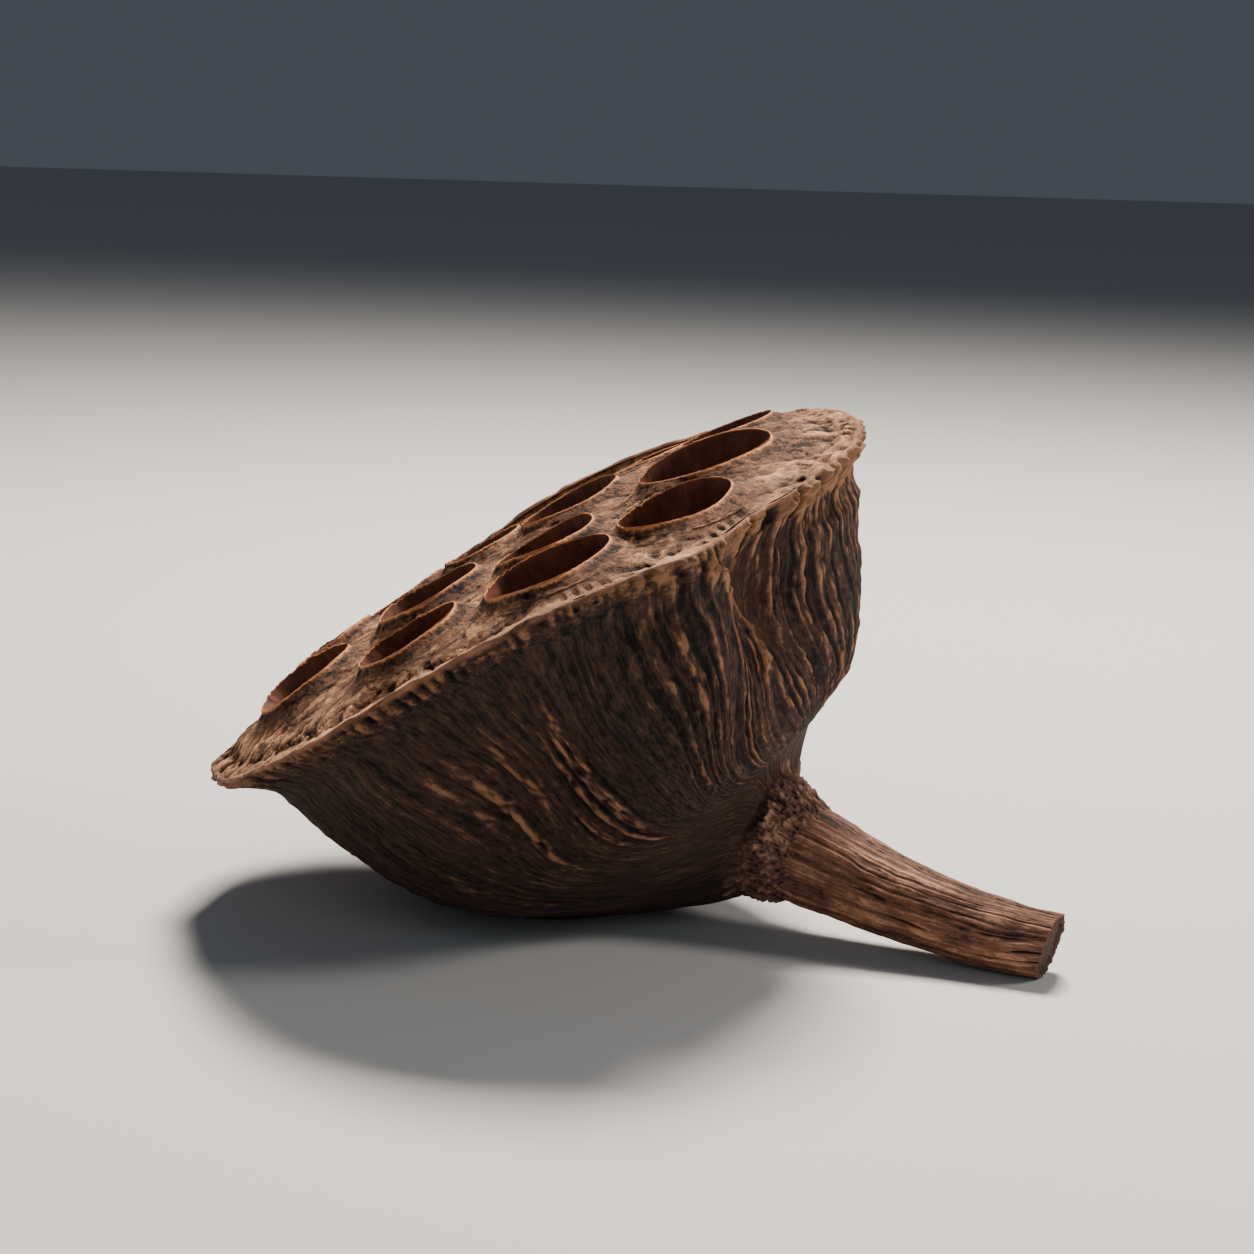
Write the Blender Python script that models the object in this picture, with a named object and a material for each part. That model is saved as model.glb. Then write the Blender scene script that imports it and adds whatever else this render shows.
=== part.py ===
import bmesh
import bpy
import numpy as np
from mathutils.geometry import delaunay_2d_cdt

# Dried lotus seed pod, cut with a short piece of its stalk and lying on its side.
# All lengths below are millimetres; MM turns them into metres at the very end.
MM = 0.001

# Pose: the flat top leans over to -X and a little towards -Y.
TOP_TILT = np.radians(29.8)
TOP_LEAN = np.radians(2.5)
TOP_CENTRE = np.array([0.0, 0.0, 32.25])
BOX_CENTRE = np.array([10.183, -0.322])

# Rim of the flat top, and the low dome inside it.
RIM_RU = 36.4
RIM_RV = 33.0
RIM_SADDLE = 4.6
DOME_RISE = 4.6
DOME_POWER = 3.0

# Neck of the husk, and the middle of the stalk's cut end, in world coordinates.
NECK = np.array([24.46, -4.0, 10.37])
CUT_END = np.array([50.9, -17.4, 3.15])
COLLAR_LENGTH = 8.0
SOLE_STEP = 0.7
STALK_GAP = 0.3

# Husk wall: rings from the rim (s = 0) to the neck (s = 1).
# Each row is s, ring centre along u, v and down the axis, half width.
WALL_RINGS = np.array([
    (0.00, 0.0, 0.0, 0.0, 36.4),
    (0.15, 0.2, 0.0, 5.2, 32.6),
    (0.30, 0.1, 0.0, 10.5, 30.3),
    (0.45, 0.0, 0.0, 15.6, 28.0),
    (0.60, 1.0, -0.5, 20.9, 24.2),
    (0.75, 3.5, -1.5, 25.2, 19.0),
    (0.88, 7.1, -3.2, 28.5, 13.2),
    (1.00, 9.9, -5.35, 31.1, 6.9),
])
WALL_S = (0.0, 0.022, 0.048, 0.08, 0.12, 0.17, 0.23, 0.30, 0.38, 0.46, 0.54, 0.62, 0.69, 0.76, 0.81)
NECK_S = (0.86, 0.91, 0.955, 1.0, 1.05, 1.10, 1.15, 1.20, 1.25)
COLUMNS = 168
RIDGE_HEIGHT = 0.62
BEAD_HEIGHT = 0.55

# Seed chambers: u, v of the mouth and its radius, all on the top face.
CHAMBERS = (
    (-22.7, -5.8, 5.2),
    (-9.2, -20.5, 5.3),
    (5.4, -22.8, 6.3),
    (18.0, -18.0, 5.6),
    (22.0, -2.8, 6.7),
    (-8.3, -3.0, 5.6),
    (5.0, -9.4, 5.2),
    (7.3, 7.6, 5.3),
    (-3.2, 11.8, 4.3),
    (-12.8, 14.2, 4.3),
    (-21.2, 8.2, 4.6),
    (25.0, 11.0, 4.9),
    (14.8, 20.2, 5.3),
    (1.8, 22.8, 5.2),
    (-11.9, 24.2, 4.6),
)
MOUTH_SIDES = 22
LIP_HEIGHT = 1.5
LIP_WIDTH = 0.5
CHAMBER_DEPTH = 11.0
CHAMBER_LEAN = 0.20

# Stalk: slightly curved, ribbed lengthways, thinner towards the cut.
STALK_R0 = 4.9
STALK_R1 = 3.45
STALK_BOW = -0.8
STALK_COLUMNS = 32
STALK_ROWS = 15
STALK_RIB = 0.26


def unit(vec):
    return vec / np.linalg.norm(vec)


def top_axes():
    """Axes of the top face: u to the high side, v to the back, n out of the face."""
    n_flat = np.array([-np.sin(TOP_TILT), 0.0, np.cos(TOP_TILT)])
    u_axis = np.array([np.cos(TOP_TILT), 0.0, np.sin(TOP_TILT)])
    back = np.array([0.0, 1.0, 0.0])
    n_axis = n_flat * np.cos(TOP_LEAN) - back * np.sin(TOP_LEAN)
    v_axis = back * np.cos(TOP_LEAN) + n_flat * np.sin(TOP_LEAN)
    return u_axis, v_axis, n_axis


U_AXIS, V_AXIS, N_AXIS = top_axes()
STALK_DIR = unit(CUT_END - NECK)


def hump(angle, centre_deg, width_deg):
    """Smooth bump of height 1 round the pod, centred on one bearing."""
    gap = (angle - np.radians(centre_deg) + np.pi) % (2 * np.pi) - np.pi
    return np.exp(-(gap / np.radians(width_deg)) ** 2)


def rim_radius(angle):
    """Outline of the top: an ellipse with a few shallow lobes."""
    base = 1.0 / np.sqrt((np.cos(angle) / RIM_RU) ** 2 + (np.sin(angle) / RIM_RV) ** 2)
    lobes = 0.010 * np.sin(3 * angle + 0.6) + 0.006 * np.sin(5 * angle)
    lobes = lobes + 0.006 * np.sin(9 * angle + 2.1)
    corner = 0.9 * hump(angle, -58, 7) - 0.6 * hump(angle, -43, 8)
    tip = 0.9 * hump(angle, 180, 7)
    return base * (1.0 + lobes) + corner + tip


def rim_height(angle):
    """Rise of the rim above its plane: it curls up in front and less behind, dips at the fold."""
    dip = 0.9 * hump(angle, -55, 18)
    lift = 0.9 * hump(angle, 14, 20) + 0.6 * hump(angle, 180, 9)
    sag = 2.6 * hump(angle, 118, 42)
    return RIM_SADDLE * np.sin(angle) ** 2 - dip + lift - sag


def dome_height(pu, pv):
    """Low dome over the top: rim height blended in, plus a rise that fades to the back."""
    angle = np.arctan2(pv, pu)
    rho = np.hypot(pu, pv) / rim_radius(angle)
    dome = DOME_RISE * (1.0 - np.minimum(rho, 1.0) ** DOME_POWER)
    swell = 0.25 * np.sin(pu * 0.31 + 1.0) * np.sin(pv * 0.37 + 0.4) * (1.0 - rho ** 2)
    near, far = np.maximum(pv, 0.0), np.maximum(pv - 12.0, 0.0)
    fall = (0.0032 * near ** 2 + 0.012 * far ** 2) * (1.0 - rho ** 4)
    return rim_height(angle) * rho ** 2 + dome + swell - fall


def lip_height(cv):
    """Height of a mouth's cone: lower on the shaded back half, where the skin sank more."""
    return LIP_HEIGHT * (1.0 - 0.45 * np.clip((cv - 4.0) / 12.0, 0.0, 1.0))


def crater_height(pu, pv):
    """Each mouth stands on a low cone that falls away over about three millimetres."""
    best = np.zeros_like(pu)
    for cu, cv, radius in CHAMBERS:
        away = np.maximum(np.hypot(pu - cu, pv - cv) - radius, 0.0)
        best = np.maximum(best, lip_height(cv) * np.exp(-(away / 1.35) ** 1.2))
    return best


def top_height(pu, pv):
    return dome_height(pu, pv) + crater_height(pu, pv)


def top_point(pu, pv, height):
    return (TOP_CENTRE + np.multiply.outer(pu, U_AXIS) + np.multiply.outer(pv, V_AXIS)
            + np.multiply.outer(height, N_AXIS))


def ring_at(s):
    """Centre, half width and two axes of one ring of the husk wall or collar."""
    if s <= 1.0:
        table = [np.interp(s, WALL_RINGS[:, 0], WALL_RINGS[:, k]) for k in range(1, 5)]
        lo, hi = max(s - 0.05, 0.0), min(s + 0.05, 1.0)
        soft = [0.5 * (np.interp(lo, WALL_RINGS[:, 0], WALL_RINGS[:, k])
                       + np.interp(hi, WALL_RINGS[:, 0], WALL_RINGS[:, k])) for k in range(1, 5)]
        mix = min(1.0, 8.0 * min(s, 1.0 - s))
        cu, cv, depth, half = [t * (1 - mix) + f * mix for t, f in zip(table, soft)]
        centre = TOP_CENTRE + cu * U_AXIS + cv * V_AXIS - depth * N_AXIS
        turn = s ** 5
    else:
        run = (s - 1.0) / (NECK_S[-1] - 1.0)
        neck = TOP_CENTRE + WALL_RINGS[-1, 1] * U_AXIS + WALL_RINGS[-1, 2] * V_AXIS
        neck = neck - WALL_RINGS[-1, 3] * N_AXIS
        centre = neck + run * COLLAR_LENGTH * STALK_DIR
        half = WALL_RINGS[-1, 4] * (1 - run) ** 2 + STALK_R0 * (1 - (1 - run) ** 2) + 0.35 * np.sin(np.pi * run)
        turn = 1.0
    normal = unit(-N_AXIS * (1 - turn) + STALK_DIR * turn)
    e1 = unit(U_AXIS - np.dot(U_AXIS, normal) * normal)
    e2 = np.cross(e1, normal)
    return centre, half, e1, e2


def wall_relief(angle, s):
    """Broad hollows and swellings of the husk, in millimetres outwards."""
    fold = -3.5 * hump(angle, -45, 9) * np.exp(-((s - 0.17) / 0.15) ** 2)
    crease = 1.7 * hump(angle, -60, 7) * np.exp(-((s - 0.12) / 0.18) ** 2)
    belly = 1.0 * hump(angle, -24, 16) * np.exp(-((s - 0.48) / 0.18) ** 2)
    hollow = -1.9 * hump(angle, -92, 20) * np.exp(-((s - 0.30) / 0.18) ** 2)
    left = -0.9 * hump(angle, 175, 30) * np.exp(-((s - 0.12) / 0.10) ** 2)
    back = -1.4 * hump(angle, 75, 18) * np.exp(-((s - 0.32) / 0.20) ** 2)
    back = back + 0.9 * hump(angle, 120, 16) * np.exp(-((s - 0.40) / 0.2) ** 2)
    sole = 0.75 * hump(angle, 188, 42) * np.exp(-((s - 0.68) / 0.13) ** 2)
    wave = 0.45 * np.sin(6 * angle + 2.0 + 3.0 * s) + 0.30 * np.sin(11 * angle - 4.0 * s)
    return fold + crease + belly + hollow + left + back + sole + wave * np.sin(np.pi * min(s, 1.0)) ** 0.5


def wall_ring(s, columns, rng_rows):
    """One ring of wall points; odd and even columns make the valleys and ridges."""
    index = np.arange(columns)
    base = 2 * np.pi * index / columns
    sweep = 0.10 * np.sin(2 * base + 0.8) * np.sin(np.pi * min(s, 1.0))
    sweep = sweep + 0.022 * np.sin(7 * base + 9.0 * s) * min(1.0, s * 4)
    angle = base + sweep
    centre, half, e1, e2 = ring_at(s)
    oval = 1.0 + (rim_radius(angle) / RIM_RU - 1.0) * max(0.0, 1.0 - s)
    radius = half * oval + wall_relief(angle, s)
    crest = np.where(index % 2 == 0, 0.5, -0.5)
    strength = rng_rows[0][index % rng_rows[0].size]
    shallow = min(1.0, half / 22.0) * (1.0 - 0.45 * hump(angle, -95, 22))
    if s < 0.03:
        radius = radius + BEAD_HEIGHT * crest * strength
    else:
        radius = radius + 2 * RIDGE_HEIGHT * crest * strength * shallow
    if 0.03 < s < 0.15:
        radius = radius - 0.7 * np.sin(np.pi * (s - 0.03) / 0.12)
    if s > 1.0:
        run = (s - 1.0) / (NECK_S[-1] - 1.0)
        knob = np.sin(9 * angle + 37 * s) * np.sin(5 * angle - 61 * s + 1.0)
        radius = radius + 0.7 * knob * np.sin(np.pi * run) ** 0.7
        radius = radius - 0.6 * (1.0 - np.abs(2 * run - 1.0)) * (rng_rows[1][index] > 0.80)
    lift = rim_height(angle) * max(0.0, 1.0 - s / 0.45) ** 2
    ring = centre + np.multiply.outer(radius * np.cos(angle), e1)
    ring = ring + np.multiply.outer(radius * np.sin(angle), e2) + np.multiply.outer(lift, N_AXIS)
    return ring


def rim_edge(rng_rows):
    """Outermost edge of the top, in top-face coordinates, taken from the first ring."""
    ring = wall_ring(0.0, COLUMNS, rng_rows) - TOP_CENTRE
    return ring @ U_AXIS, ring @ V_AXIS, ring


def mouth_loop(chamber, offset, sides, turn=0.0):
    """Closed loop round a mouth; the oval wobble keeps it from being a true circle."""
    cu, cv, radius = chamber
    phi = 2 * np.pi * (np.arange(sides) + turn) / sides
    wobble = 1.0 + 0.025 * np.sin(2 * phi + cu) + 0.015 * np.sin(5 * phi + cv)
    reach = radius * wobble + offset
    return cu + reach * np.cos(phi), cv + reach * np.sin(phi)


def clear_of_mouths(pu, pv, own, margin):
    """True where a point keeps its distance from every mouth but its own."""
    keep = np.ones(len(pu), dtype=bool)
    for k, (cu, cv, radius) in enumerate(CHAMBERS):
        if k != own:
            keep &= np.hypot(pu - cu, pv - cv) > radius + margin
    return keep


def inside_loop(pu, pv, loop):
    """Even-odd test of one point against a closed loop of points."""
    ax, ay = loop[:, 0], loop[:, 1]
    bx, by = np.roll(ax, -1), np.roll(ay, -1)
    across = (ay > pv) != (by > pv)
    rise = np.where(across, by - ay, 1.0)
    return np.count_nonzero(across & (pu < ax + (pv - ay) * (bx - ax) / rise)) % 2 == 1


def top_face(rng, rng_rows):
    """Flat triangulation of the top between the rim and the mouths, lifted into shape."""
    eu, ev, _ = rim_edge(rng_rows)
    points = [np.stack([eu, ev], 1)]
    loops = [list(range(COLUMNS))]
    count = COLUMNS
    for chamber in CHAMBERS:
        mu, mv = mouth_loop(chamber, 0.0, MOUTH_SIDES)
        points.append(np.stack([mu, mv], 1))
        loops.append(list(range(count, count + MOUTH_SIDES)))
        count += MOUTH_SIDES
    extra = []
    for shrink, step in ((1.3, 1), (2.6, 2), (4.2, 3)):
        angle = 2 * np.pi * (np.arange(0, COLUMNS, 2 * step) + 1.0) / COLUMNS
        reach = rim_radius(angle) - shrink
        pu, pv = reach * np.cos(angle), reach * np.sin(angle)
        keep = clear_of_mouths(pu, pv, -1, 0.9)
        extra.append(np.stack([pu[keep], pv[keep]], 1))
    for k, chamber in enumerate(CHAMBERS):
        for offset, sides in ((LIP_WIDTH, MOUTH_SIDES), (1.2, 18), (2.5, 14)):
            pu, pv = mouth_loop(chamber, offset, sides, 0.5 if offset > LIP_WIDTH else 0.0)
            angle = np.arctan2(pv, pu)
            keep = clear_of_mouths(pu, pv, k, max(offset * 0.9, 0.55))
            keep &= np.hypot(pu, pv) < rim_radius(angle) - 1.9
            extra.append(np.stack([pu[keep], pv[keep]], 1))
    fill = rng.uniform(-34, 34, (260, 2))
    angle = np.arctan2(fill[:, 1], fill[:, 0])
    keep = clear_of_mouths(fill[:, 0], fill[:, 1], -1, 3.6)
    keep &= np.hypot(fill[:, 0], fill[:, 1]) < rim_radius(angle) - 5.5
    extra.append(fill[keep][:50])
    flat = np.concatenate(points + extra)
    edges = [(loop[i], loop[(i + 1) % len(loop)]) for loop in loops for i in range(len(loop))]
    out = delaunay_2d_cdt([tuple(p) for p in flat], edges, [loops[0]], 1, 1e-5, True)
    verts = np.array([tuple(p) for p in out[0]])
    source = [o[0] for o in out[3]]
    faces = []
    for tri in out[2]:
        middle = verts[list(tri)].mean(0)
        solid = inside_loop(middle[0], middle[1], flat[loops[0]])
        for loop in loops[1:]:
            solid = solid and not inside_loop(middle[0], middle[1], flat[loop])
        if solid:
            faces.append(tuple(source[i] for i in tri))
    return flat, faces


def husk_mesh():
    """The receptacle: husk wall, collar, domed top and the open seed chambers."""
    rng = np.random.default_rng(11)
    rng_rows = (rng.uniform(0.55, 1.25, 61), rng.uniform(0.0, 1.0, COLUMNS))
    coords = []
    faces = []

    wall = []
    for s in WALL_S:
        wall.append(len(coords))
        coords.extend(wall_ring(s, COLUMNS, rng_rows))
    for upper, lower in zip(wall[:-1], wall[1:]):
        for j in range(COLUMNS):
            k = (j + 1) % COLUMNS
            faces.append((upper + j, lower + j, lower + k))
            faces.append((upper + j, lower + k, upper + k))
    half_count = COLUMNS // 2
    neck = []
    for s in NECK_S:
        neck.append(len(coords))
        coords.extend(wall_ring(s, half_count, rng_rows))
    for j in range(half_count):
        k = (j + 1) % half_count
        a0, a1, a2 = wall[-1] + 2 * j, wall[-1] + 2 * j + 1, wall[-1] + (2 * j + 2) % COLUMNS
        b0, b1 = neck[0] + j, neck[0] + k
        faces += [(a0, b0, a1), (a1, b0, b1), (a1, b1, a2)]
    for upper, lower in zip(neck[:-1], neck[1:]):
        for j in range(half_count):
            k = (j + 1) % half_count
            faces.append((upper + j, lower + j, lower + k))
            faces.append((upper + j, lower + k, upper + k))
    centre, _, _, _ = ring_at(NECK_S[-1])
    hub = len(coords)
    coords.append(centre)
    for j in range(half_count):
        faces.append((neck[-1] + j, hub, neck[-1] + (j + 1) % half_count))

    flat, top_tris = top_face(rng, rng_rows)
    lifted = top_height(flat[:, 0], flat[:, 1])
    _, _, edge = rim_edge(rng_rows)
    radius = np.hypot(flat[:, 0], flat[:, 1])
    margin = rim_radius(np.arctan2(flat[:, 1], flat[:, 0])) - radius
    groove = -0.55 * np.exp(-((margin - 2.4) / 1.1) ** 2)
    lifted = lifted + groove * (crater_height(flat[:, 0], flat[:, 1]) < 0.5)
    lip_noise = rng.uniform(-0.12, 0.12, len(flat))
    lifted[COLUMNS:] += lip_noise[COLUMNS:]
    spread = top_point(flat[:, 0], flat[:, 1], lifted)
    shift = len(coords) - COLUMNS
    coords.extend(spread[COLUMNS:])
    for tri in top_tris:
        faces.append(tuple(i if i < COLUMNS else i + shift for i in tri))

    profile = ((0.9, 0.985), (4.6, 0.95), (8.8, 0.80))
    for number, (cu, cv, size) in enumerate(CHAMBERS):
        first = COLUMNS + number * MOUTH_SIDES + shift
        rings = [first]
        mu, mv = mouth_loop((cu, cv, size), 0.0, MOUTH_SIDES)
        mouth = dome_height(np.array([cu]), np.array([cv]))[0] + lip_height(cv)
        for depth, share in profile:
            lean = 1.0 - CHAMBER_LEAN * depth / CHAMBER_DEPTH
            pu = cu * lean + (mu - cu) * share
            pv = cv * lean + (mv - cv) * share
            level = mouth - depth
            if depth < 2.0:
                level = lifted[COLUMNS + number * MOUTH_SIDES:][:MOUTH_SIDES] - depth
            rings.append(len(coords))
            coords.extend(top_point(pu, pv, level + np.zeros(MOUTH_SIDES)))
        lean = 1.0 - CHAMBER_LEAN
        hub = len(coords)
        coords.append(top_point(cu * lean, cv * lean, mouth - CHAMBER_DEPTH))
        for upper, lower in zip(rings[:-1], rings[1:]):
            for j in range(MOUTH_SIDES):
                k = (j + 1) % MOUTH_SIDES
                faces.append((upper + j, lower + k, lower + j))
                faces.append((upper + j, upper + k, lower + k))
        for j in range(MOUTH_SIDES):
            faces.append((rings[-1] + j, rings[-1] + (j + 1) % MOUTH_SIDES, hub))
    coords = np.array(coords)
    coords[:, 2] = np.where(coords[:, 2] < SOLE_STEP, 0.0, coords[:, 2])
    return coords, faces


def stalk_mesh():
    """Cut stalk: ribbed lengthways, bowed, its cut end slightly hollowed."""
    rng = np.random.default_rng(5)
    start, _, e1, e2 = ring_at(NECK_S[-1])
    start = start + STALK_GAP * STALK_DIR
    sag = unit(np.cross(STALK_DIR, e2))
    coords = []
    faces = []
    index = np.arange(STALK_COLUMNS)
    angle = 2 * np.pi * index / STALK_COLUMNS
    rib = np.where(index % 2 == 0, 1.0, -1.0) * rng.uniform(0.5, 1.2, STALK_COLUMNS)
    for row in range(STALK_ROWS):
        t = row / (STALK_ROWS - 1.0)
        centre = start + (CUT_END - start) * t + STALK_BOW * np.sin(np.pi * t) * sag * 0.5
        radius = STALK_R0 + (STALK_R1 - STALK_R0) * t ** 0.6
        radius = radius + STALK_RIB * rib * (0.7 + 0.3 * np.sin(9 * t + index))
        radius = radius + 0.12 * np.sin(3 * angle + 7 * t)
        twist = angle + 0.25 * t
        ring = centre + np.multiply.outer(radius * np.cos(twist), e1)
        coords.extend(ring + np.multiply.outer(radius * np.sin(twist), e2))
    for row in range(STALK_ROWS - 1):
        for j in range(STALK_COLUMNS):
            k = (j + 1) % STALK_COLUMNS
            upper, lower = row * STALK_COLUMNS, (row + 1) * STALK_COLUMNS
            faces.append((upper + j, lower + j, lower + k))
            faces.append((upper + j, lower + k, upper + k))
    near, far = len(coords), len(coords) + 1
    coords.append(start)
    coords.append(CUT_END - 0.4 * STALK_DIR)
    last = (STALK_ROWS - 1) * STALK_COLUMNS
    for j in range(STALK_COLUMNS):
        k = (j + 1) % STALK_COLUMNS
        faces.append((near, j, k))
        faces.append((last + j, far, last + k))
    coords = np.array(coords)
    coords[:, 2] = np.maximum(coords[:, 2], 0.0)
    return coords, faces


def add_object(name, coords, faces, origin, colour, roughness):
    """Closed mesh object with its own plain material, origin at a point that means something."""
    place = coords - np.array([BOX_CENTRE[0], BOX_CENTRE[1], 0.0])
    home = np.array(origin) - np.array([BOX_CENTRE[0], BOX_CENTRE[1], 0.0])
    mesh = bpy.data.meshes.new(name)
    mesh.from_pydata(((place - home) * MM).tolist(), [], faces)
    work = bmesh.new()
    work.from_mesh(mesh)
    bmesh.ops.recalc_face_normals(work, faces=work.faces)
    if work.calc_volume(signed=True) < 0:
        bmesh.ops.reverse_faces(work, faces=work.faces)
    work.to_mesh(mesh)
    work.free()
    mesh.shade_smooth()
    mesh.set_sharp_from_angle(angle=np.radians(50))
    material = bpy.data.materials.new(name + "_surface")
    material.use_nodes = True
    shader = material.node_tree.nodes["Principled BSDF"]
    shader.inputs["Base Color"].default_value = colour
    shader.inputs["Roughness"].default_value = roughness
    mesh.materials.append(material)
    body = bpy.data.objects.new(name, mesh)
    body.location = (home * MM).tolist()
    bpy.context.scene.collection.objects.link(body)
    return body


for leftover in list(bpy.data.objects):
    bpy.data.objects.remove(leftover)

husk_coords, husk_faces = husk_mesh()
add_object("receptacle", husk_coords, husk_faces, TOP_CENTRE, (0.21, 0.125, 0.08, 1.0), 0.8)
stalk_coords, stalk_faces = stalk_mesh()
add_object("stem", stalk_coords, stalk_faces, NECK, (0.24, 0.10, 0.06, 1.0), 0.7)
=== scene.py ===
import bpy
import numpy as np
from mathutils import Matrix


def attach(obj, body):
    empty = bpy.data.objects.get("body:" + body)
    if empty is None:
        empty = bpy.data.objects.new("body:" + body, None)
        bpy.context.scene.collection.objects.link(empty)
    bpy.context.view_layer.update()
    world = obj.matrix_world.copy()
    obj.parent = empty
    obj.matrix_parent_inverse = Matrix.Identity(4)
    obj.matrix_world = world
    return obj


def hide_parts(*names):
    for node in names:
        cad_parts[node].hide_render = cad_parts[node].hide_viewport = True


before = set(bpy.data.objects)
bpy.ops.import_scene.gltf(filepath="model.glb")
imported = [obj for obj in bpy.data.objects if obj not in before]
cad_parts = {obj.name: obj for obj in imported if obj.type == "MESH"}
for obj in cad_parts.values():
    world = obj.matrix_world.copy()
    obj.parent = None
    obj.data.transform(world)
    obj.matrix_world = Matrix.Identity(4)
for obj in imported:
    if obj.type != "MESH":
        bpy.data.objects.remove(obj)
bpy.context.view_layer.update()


# HUSK WALL
# The receptacle of a lotus: one dry, woody funnel that grew round the seeds. Its skin has
# shrunk into long cords that run from the crimped rim down to the neck. Their crests are paler,
# partly in their own colour and partly as painted highlight, and their grooves are painted
# nearly black as shade. It is drawn on rings along a bent axis.

MM = 0.001
TOP_TILT = np.radians(29.8)
TOP_LEAN = np.radians(2.5)
TOP_CENTRE = np.array([0.0, 0.0, 32.25])
BOX_CENTRE = np.array([10.183, -0.322, 0.0])
RIM_RU = 36.4
RIM_RV = 33.0
RIM_SADDLE = 4.6
NECK = np.array([24.46, -4.0, 10.37])
CUT_END = np.array([50.9, -17.4, 3.15])
COLLAR_LENGTH = 8.0
COLLAR_END = 1.25
STALK_R0 = 4.9
STALK_DROOP = 0.9
SOLE_STEP = 1.2
WALL_RINGS = np.array([
    (0.00, 0.0, 0.0, 0.0, 36.4),
    (0.15, 0.2, 0.0, 5.2, 32.6),
    (0.30, 0.1, 0.0, 10.5, 30.3),
    (0.45, 0.0, 0.0, 15.6, 28.0),
    (0.60, 1.0, -0.5, 20.9, 24.2),
    (0.75, 3.5, -1.5, 25.2, 19.0),
    (0.88, 7.1, -3.2, 28.5, 13.2),
    (1.00, 9.9, -5.35, 31.1, 6.9),
])


def paint(red, green, blue):
    """Screen colour 0 to 255 turned into the linear colour that a shader takes."""
    share = np.array([red, green, blue]) / 255.0
    linear = np.where(share <= 0.04045, share / 12.92, ((share + 0.055) / 1.055) ** 2.4)
    return (*linear.tolist(), 1.0)


def unit(vec):
    return vec / np.linalg.norm(vec, axis=-1, keepdims=True)


def top_axes():
    """Axes of the top face: u to the high side, v to the back, n out of the face."""
    n_flat = np.array([-np.sin(TOP_TILT), 0.0, np.cos(TOP_TILT)])
    u_axis = np.array([np.cos(TOP_TILT), 0.0, np.sin(TOP_TILT)])
    back = np.array([0.0, 1.0, 0.0])
    n_axis = n_flat * np.cos(TOP_LEAN) - back * np.sin(TOP_LEAN)
    v_axis = back * np.cos(TOP_LEAN) + n_flat * np.sin(TOP_LEAN)
    return u_axis, v_axis, n_axis


U_AXIS, V_AXIS, N_AXIS = top_axes()
STALK_DIR = unit(CUT_END - NECK)


def hump(angle, centre_deg, width_deg):
    """Smooth bump of height 1 round the pod, centred on one bearing."""
    gap = (angle - np.radians(centre_deg) + np.pi) % (2 * np.pi) - np.pi
    return np.exp(-(gap / np.radians(width_deg)) ** 2)


def step_up(value, low, high):
    """0 below low, 1 above high, and a smooth s-curve between them."""
    share = np.clip((value - low) / (high - low), 0.0, 1.0)
    return share * share * (3.0 - 2.0 * share)


def lattice_noise(x, y, cells_x, cells_y, seed):
    """Random values on a lattice, blended by s-curves; x closes on itself over 0 to 1."""
    grid = np.random.default_rng(seed).uniform(-1, 1, (cells_y + 2, cells_x))
    gx = (x % 1.0) * cells_x
    gy = np.clip(y, 0.0, 1.0) * cells_y
    ix = np.floor(gx).astype(int)
    iy = np.floor(gy).astype(int)
    fx = step_up(gx - ix, 0.0, 1.0)
    fy = step_up(gy - iy, 0.0, 1.0)
    ix, jx = ix % cells_x, (ix + 1) % cells_x
    near = grid[iy, ix] * (1 - fx) + grid[iy, jx] * fx
    far = grid[iy + 1, ix] * (1 - fx) + grid[iy + 1, jx] * fx
    return near * (1 - fy) + far * fy


def ring_noise(turn, cells, seed):
    """Random values round the pod alone, the same at every height."""
    return lattice_noise(turn, 0 * turn, cells, 1, seed)


def once_round(count):
    """Evenly spaced bearings once round the pod, as a row."""
    return np.linspace(0, 2 * np.pi, count, endpoint=False)[None, :]


def rim_radius(angle):
    """Outline of the top: an ellipse with shallow lobes, a corner at the fold and a tip."""
    base = 1.0 / np.sqrt((np.cos(angle) / RIM_RU) ** 2 + (np.sin(angle) / RIM_RV) ** 2)
    lobes = 0.010 * np.sin(3 * angle + 0.6) + 0.006 * np.sin(5 * angle)
    lobes = lobes + 0.006 * np.sin(9 * angle + 2.1)
    corner = 0.9 * hump(angle, -58, 7) - 0.6 * hump(angle, -43, 8)
    return base * (1.0 + lobes) + corner + 0.9 * hump(angle, 180, 7)


def rim_height(angle):
    """Rise of the rim above its plane: front and back curl up, with a dip at the fold."""
    lift = 0.9 * hump(angle, 14, 20) + 0.6 * hump(angle, 180, 9)
    sag = 0.9 * hump(angle, -55, 18) + 2.6 * hump(angle, 118, 42)
    return RIM_SADDLE * np.sin(angle) ** 2 - sag + lift


def ring_table(s, column):
    """One column of the ring table at s, its corners rounded by averaging over a short span."""
    knots, values = WALL_RINGS[:, 0], WALL_RINGS[:, column]
    spread = np.linspace(-0.07, 0.07, 9)
    near = [np.interp(np.clip(s + shift, 0, 1), knots, values) for shift in spread]
    mix = np.clip(8.0 * np.minimum(s, 1.0 - s), 0.0, 1.0)
    return np.interp(s, knots, values) * (1 - mix) + np.mean(near, axis=0) * mix


def droop(along):
    """How far the stalk hangs below a straight line, at a distance from the neck."""
    share = np.clip(along / np.linalg.norm(CUT_END - NECK), 0.0, 1.0)
    return STALK_DROOP * np.sin(np.pi * share) ** 0.8


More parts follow.
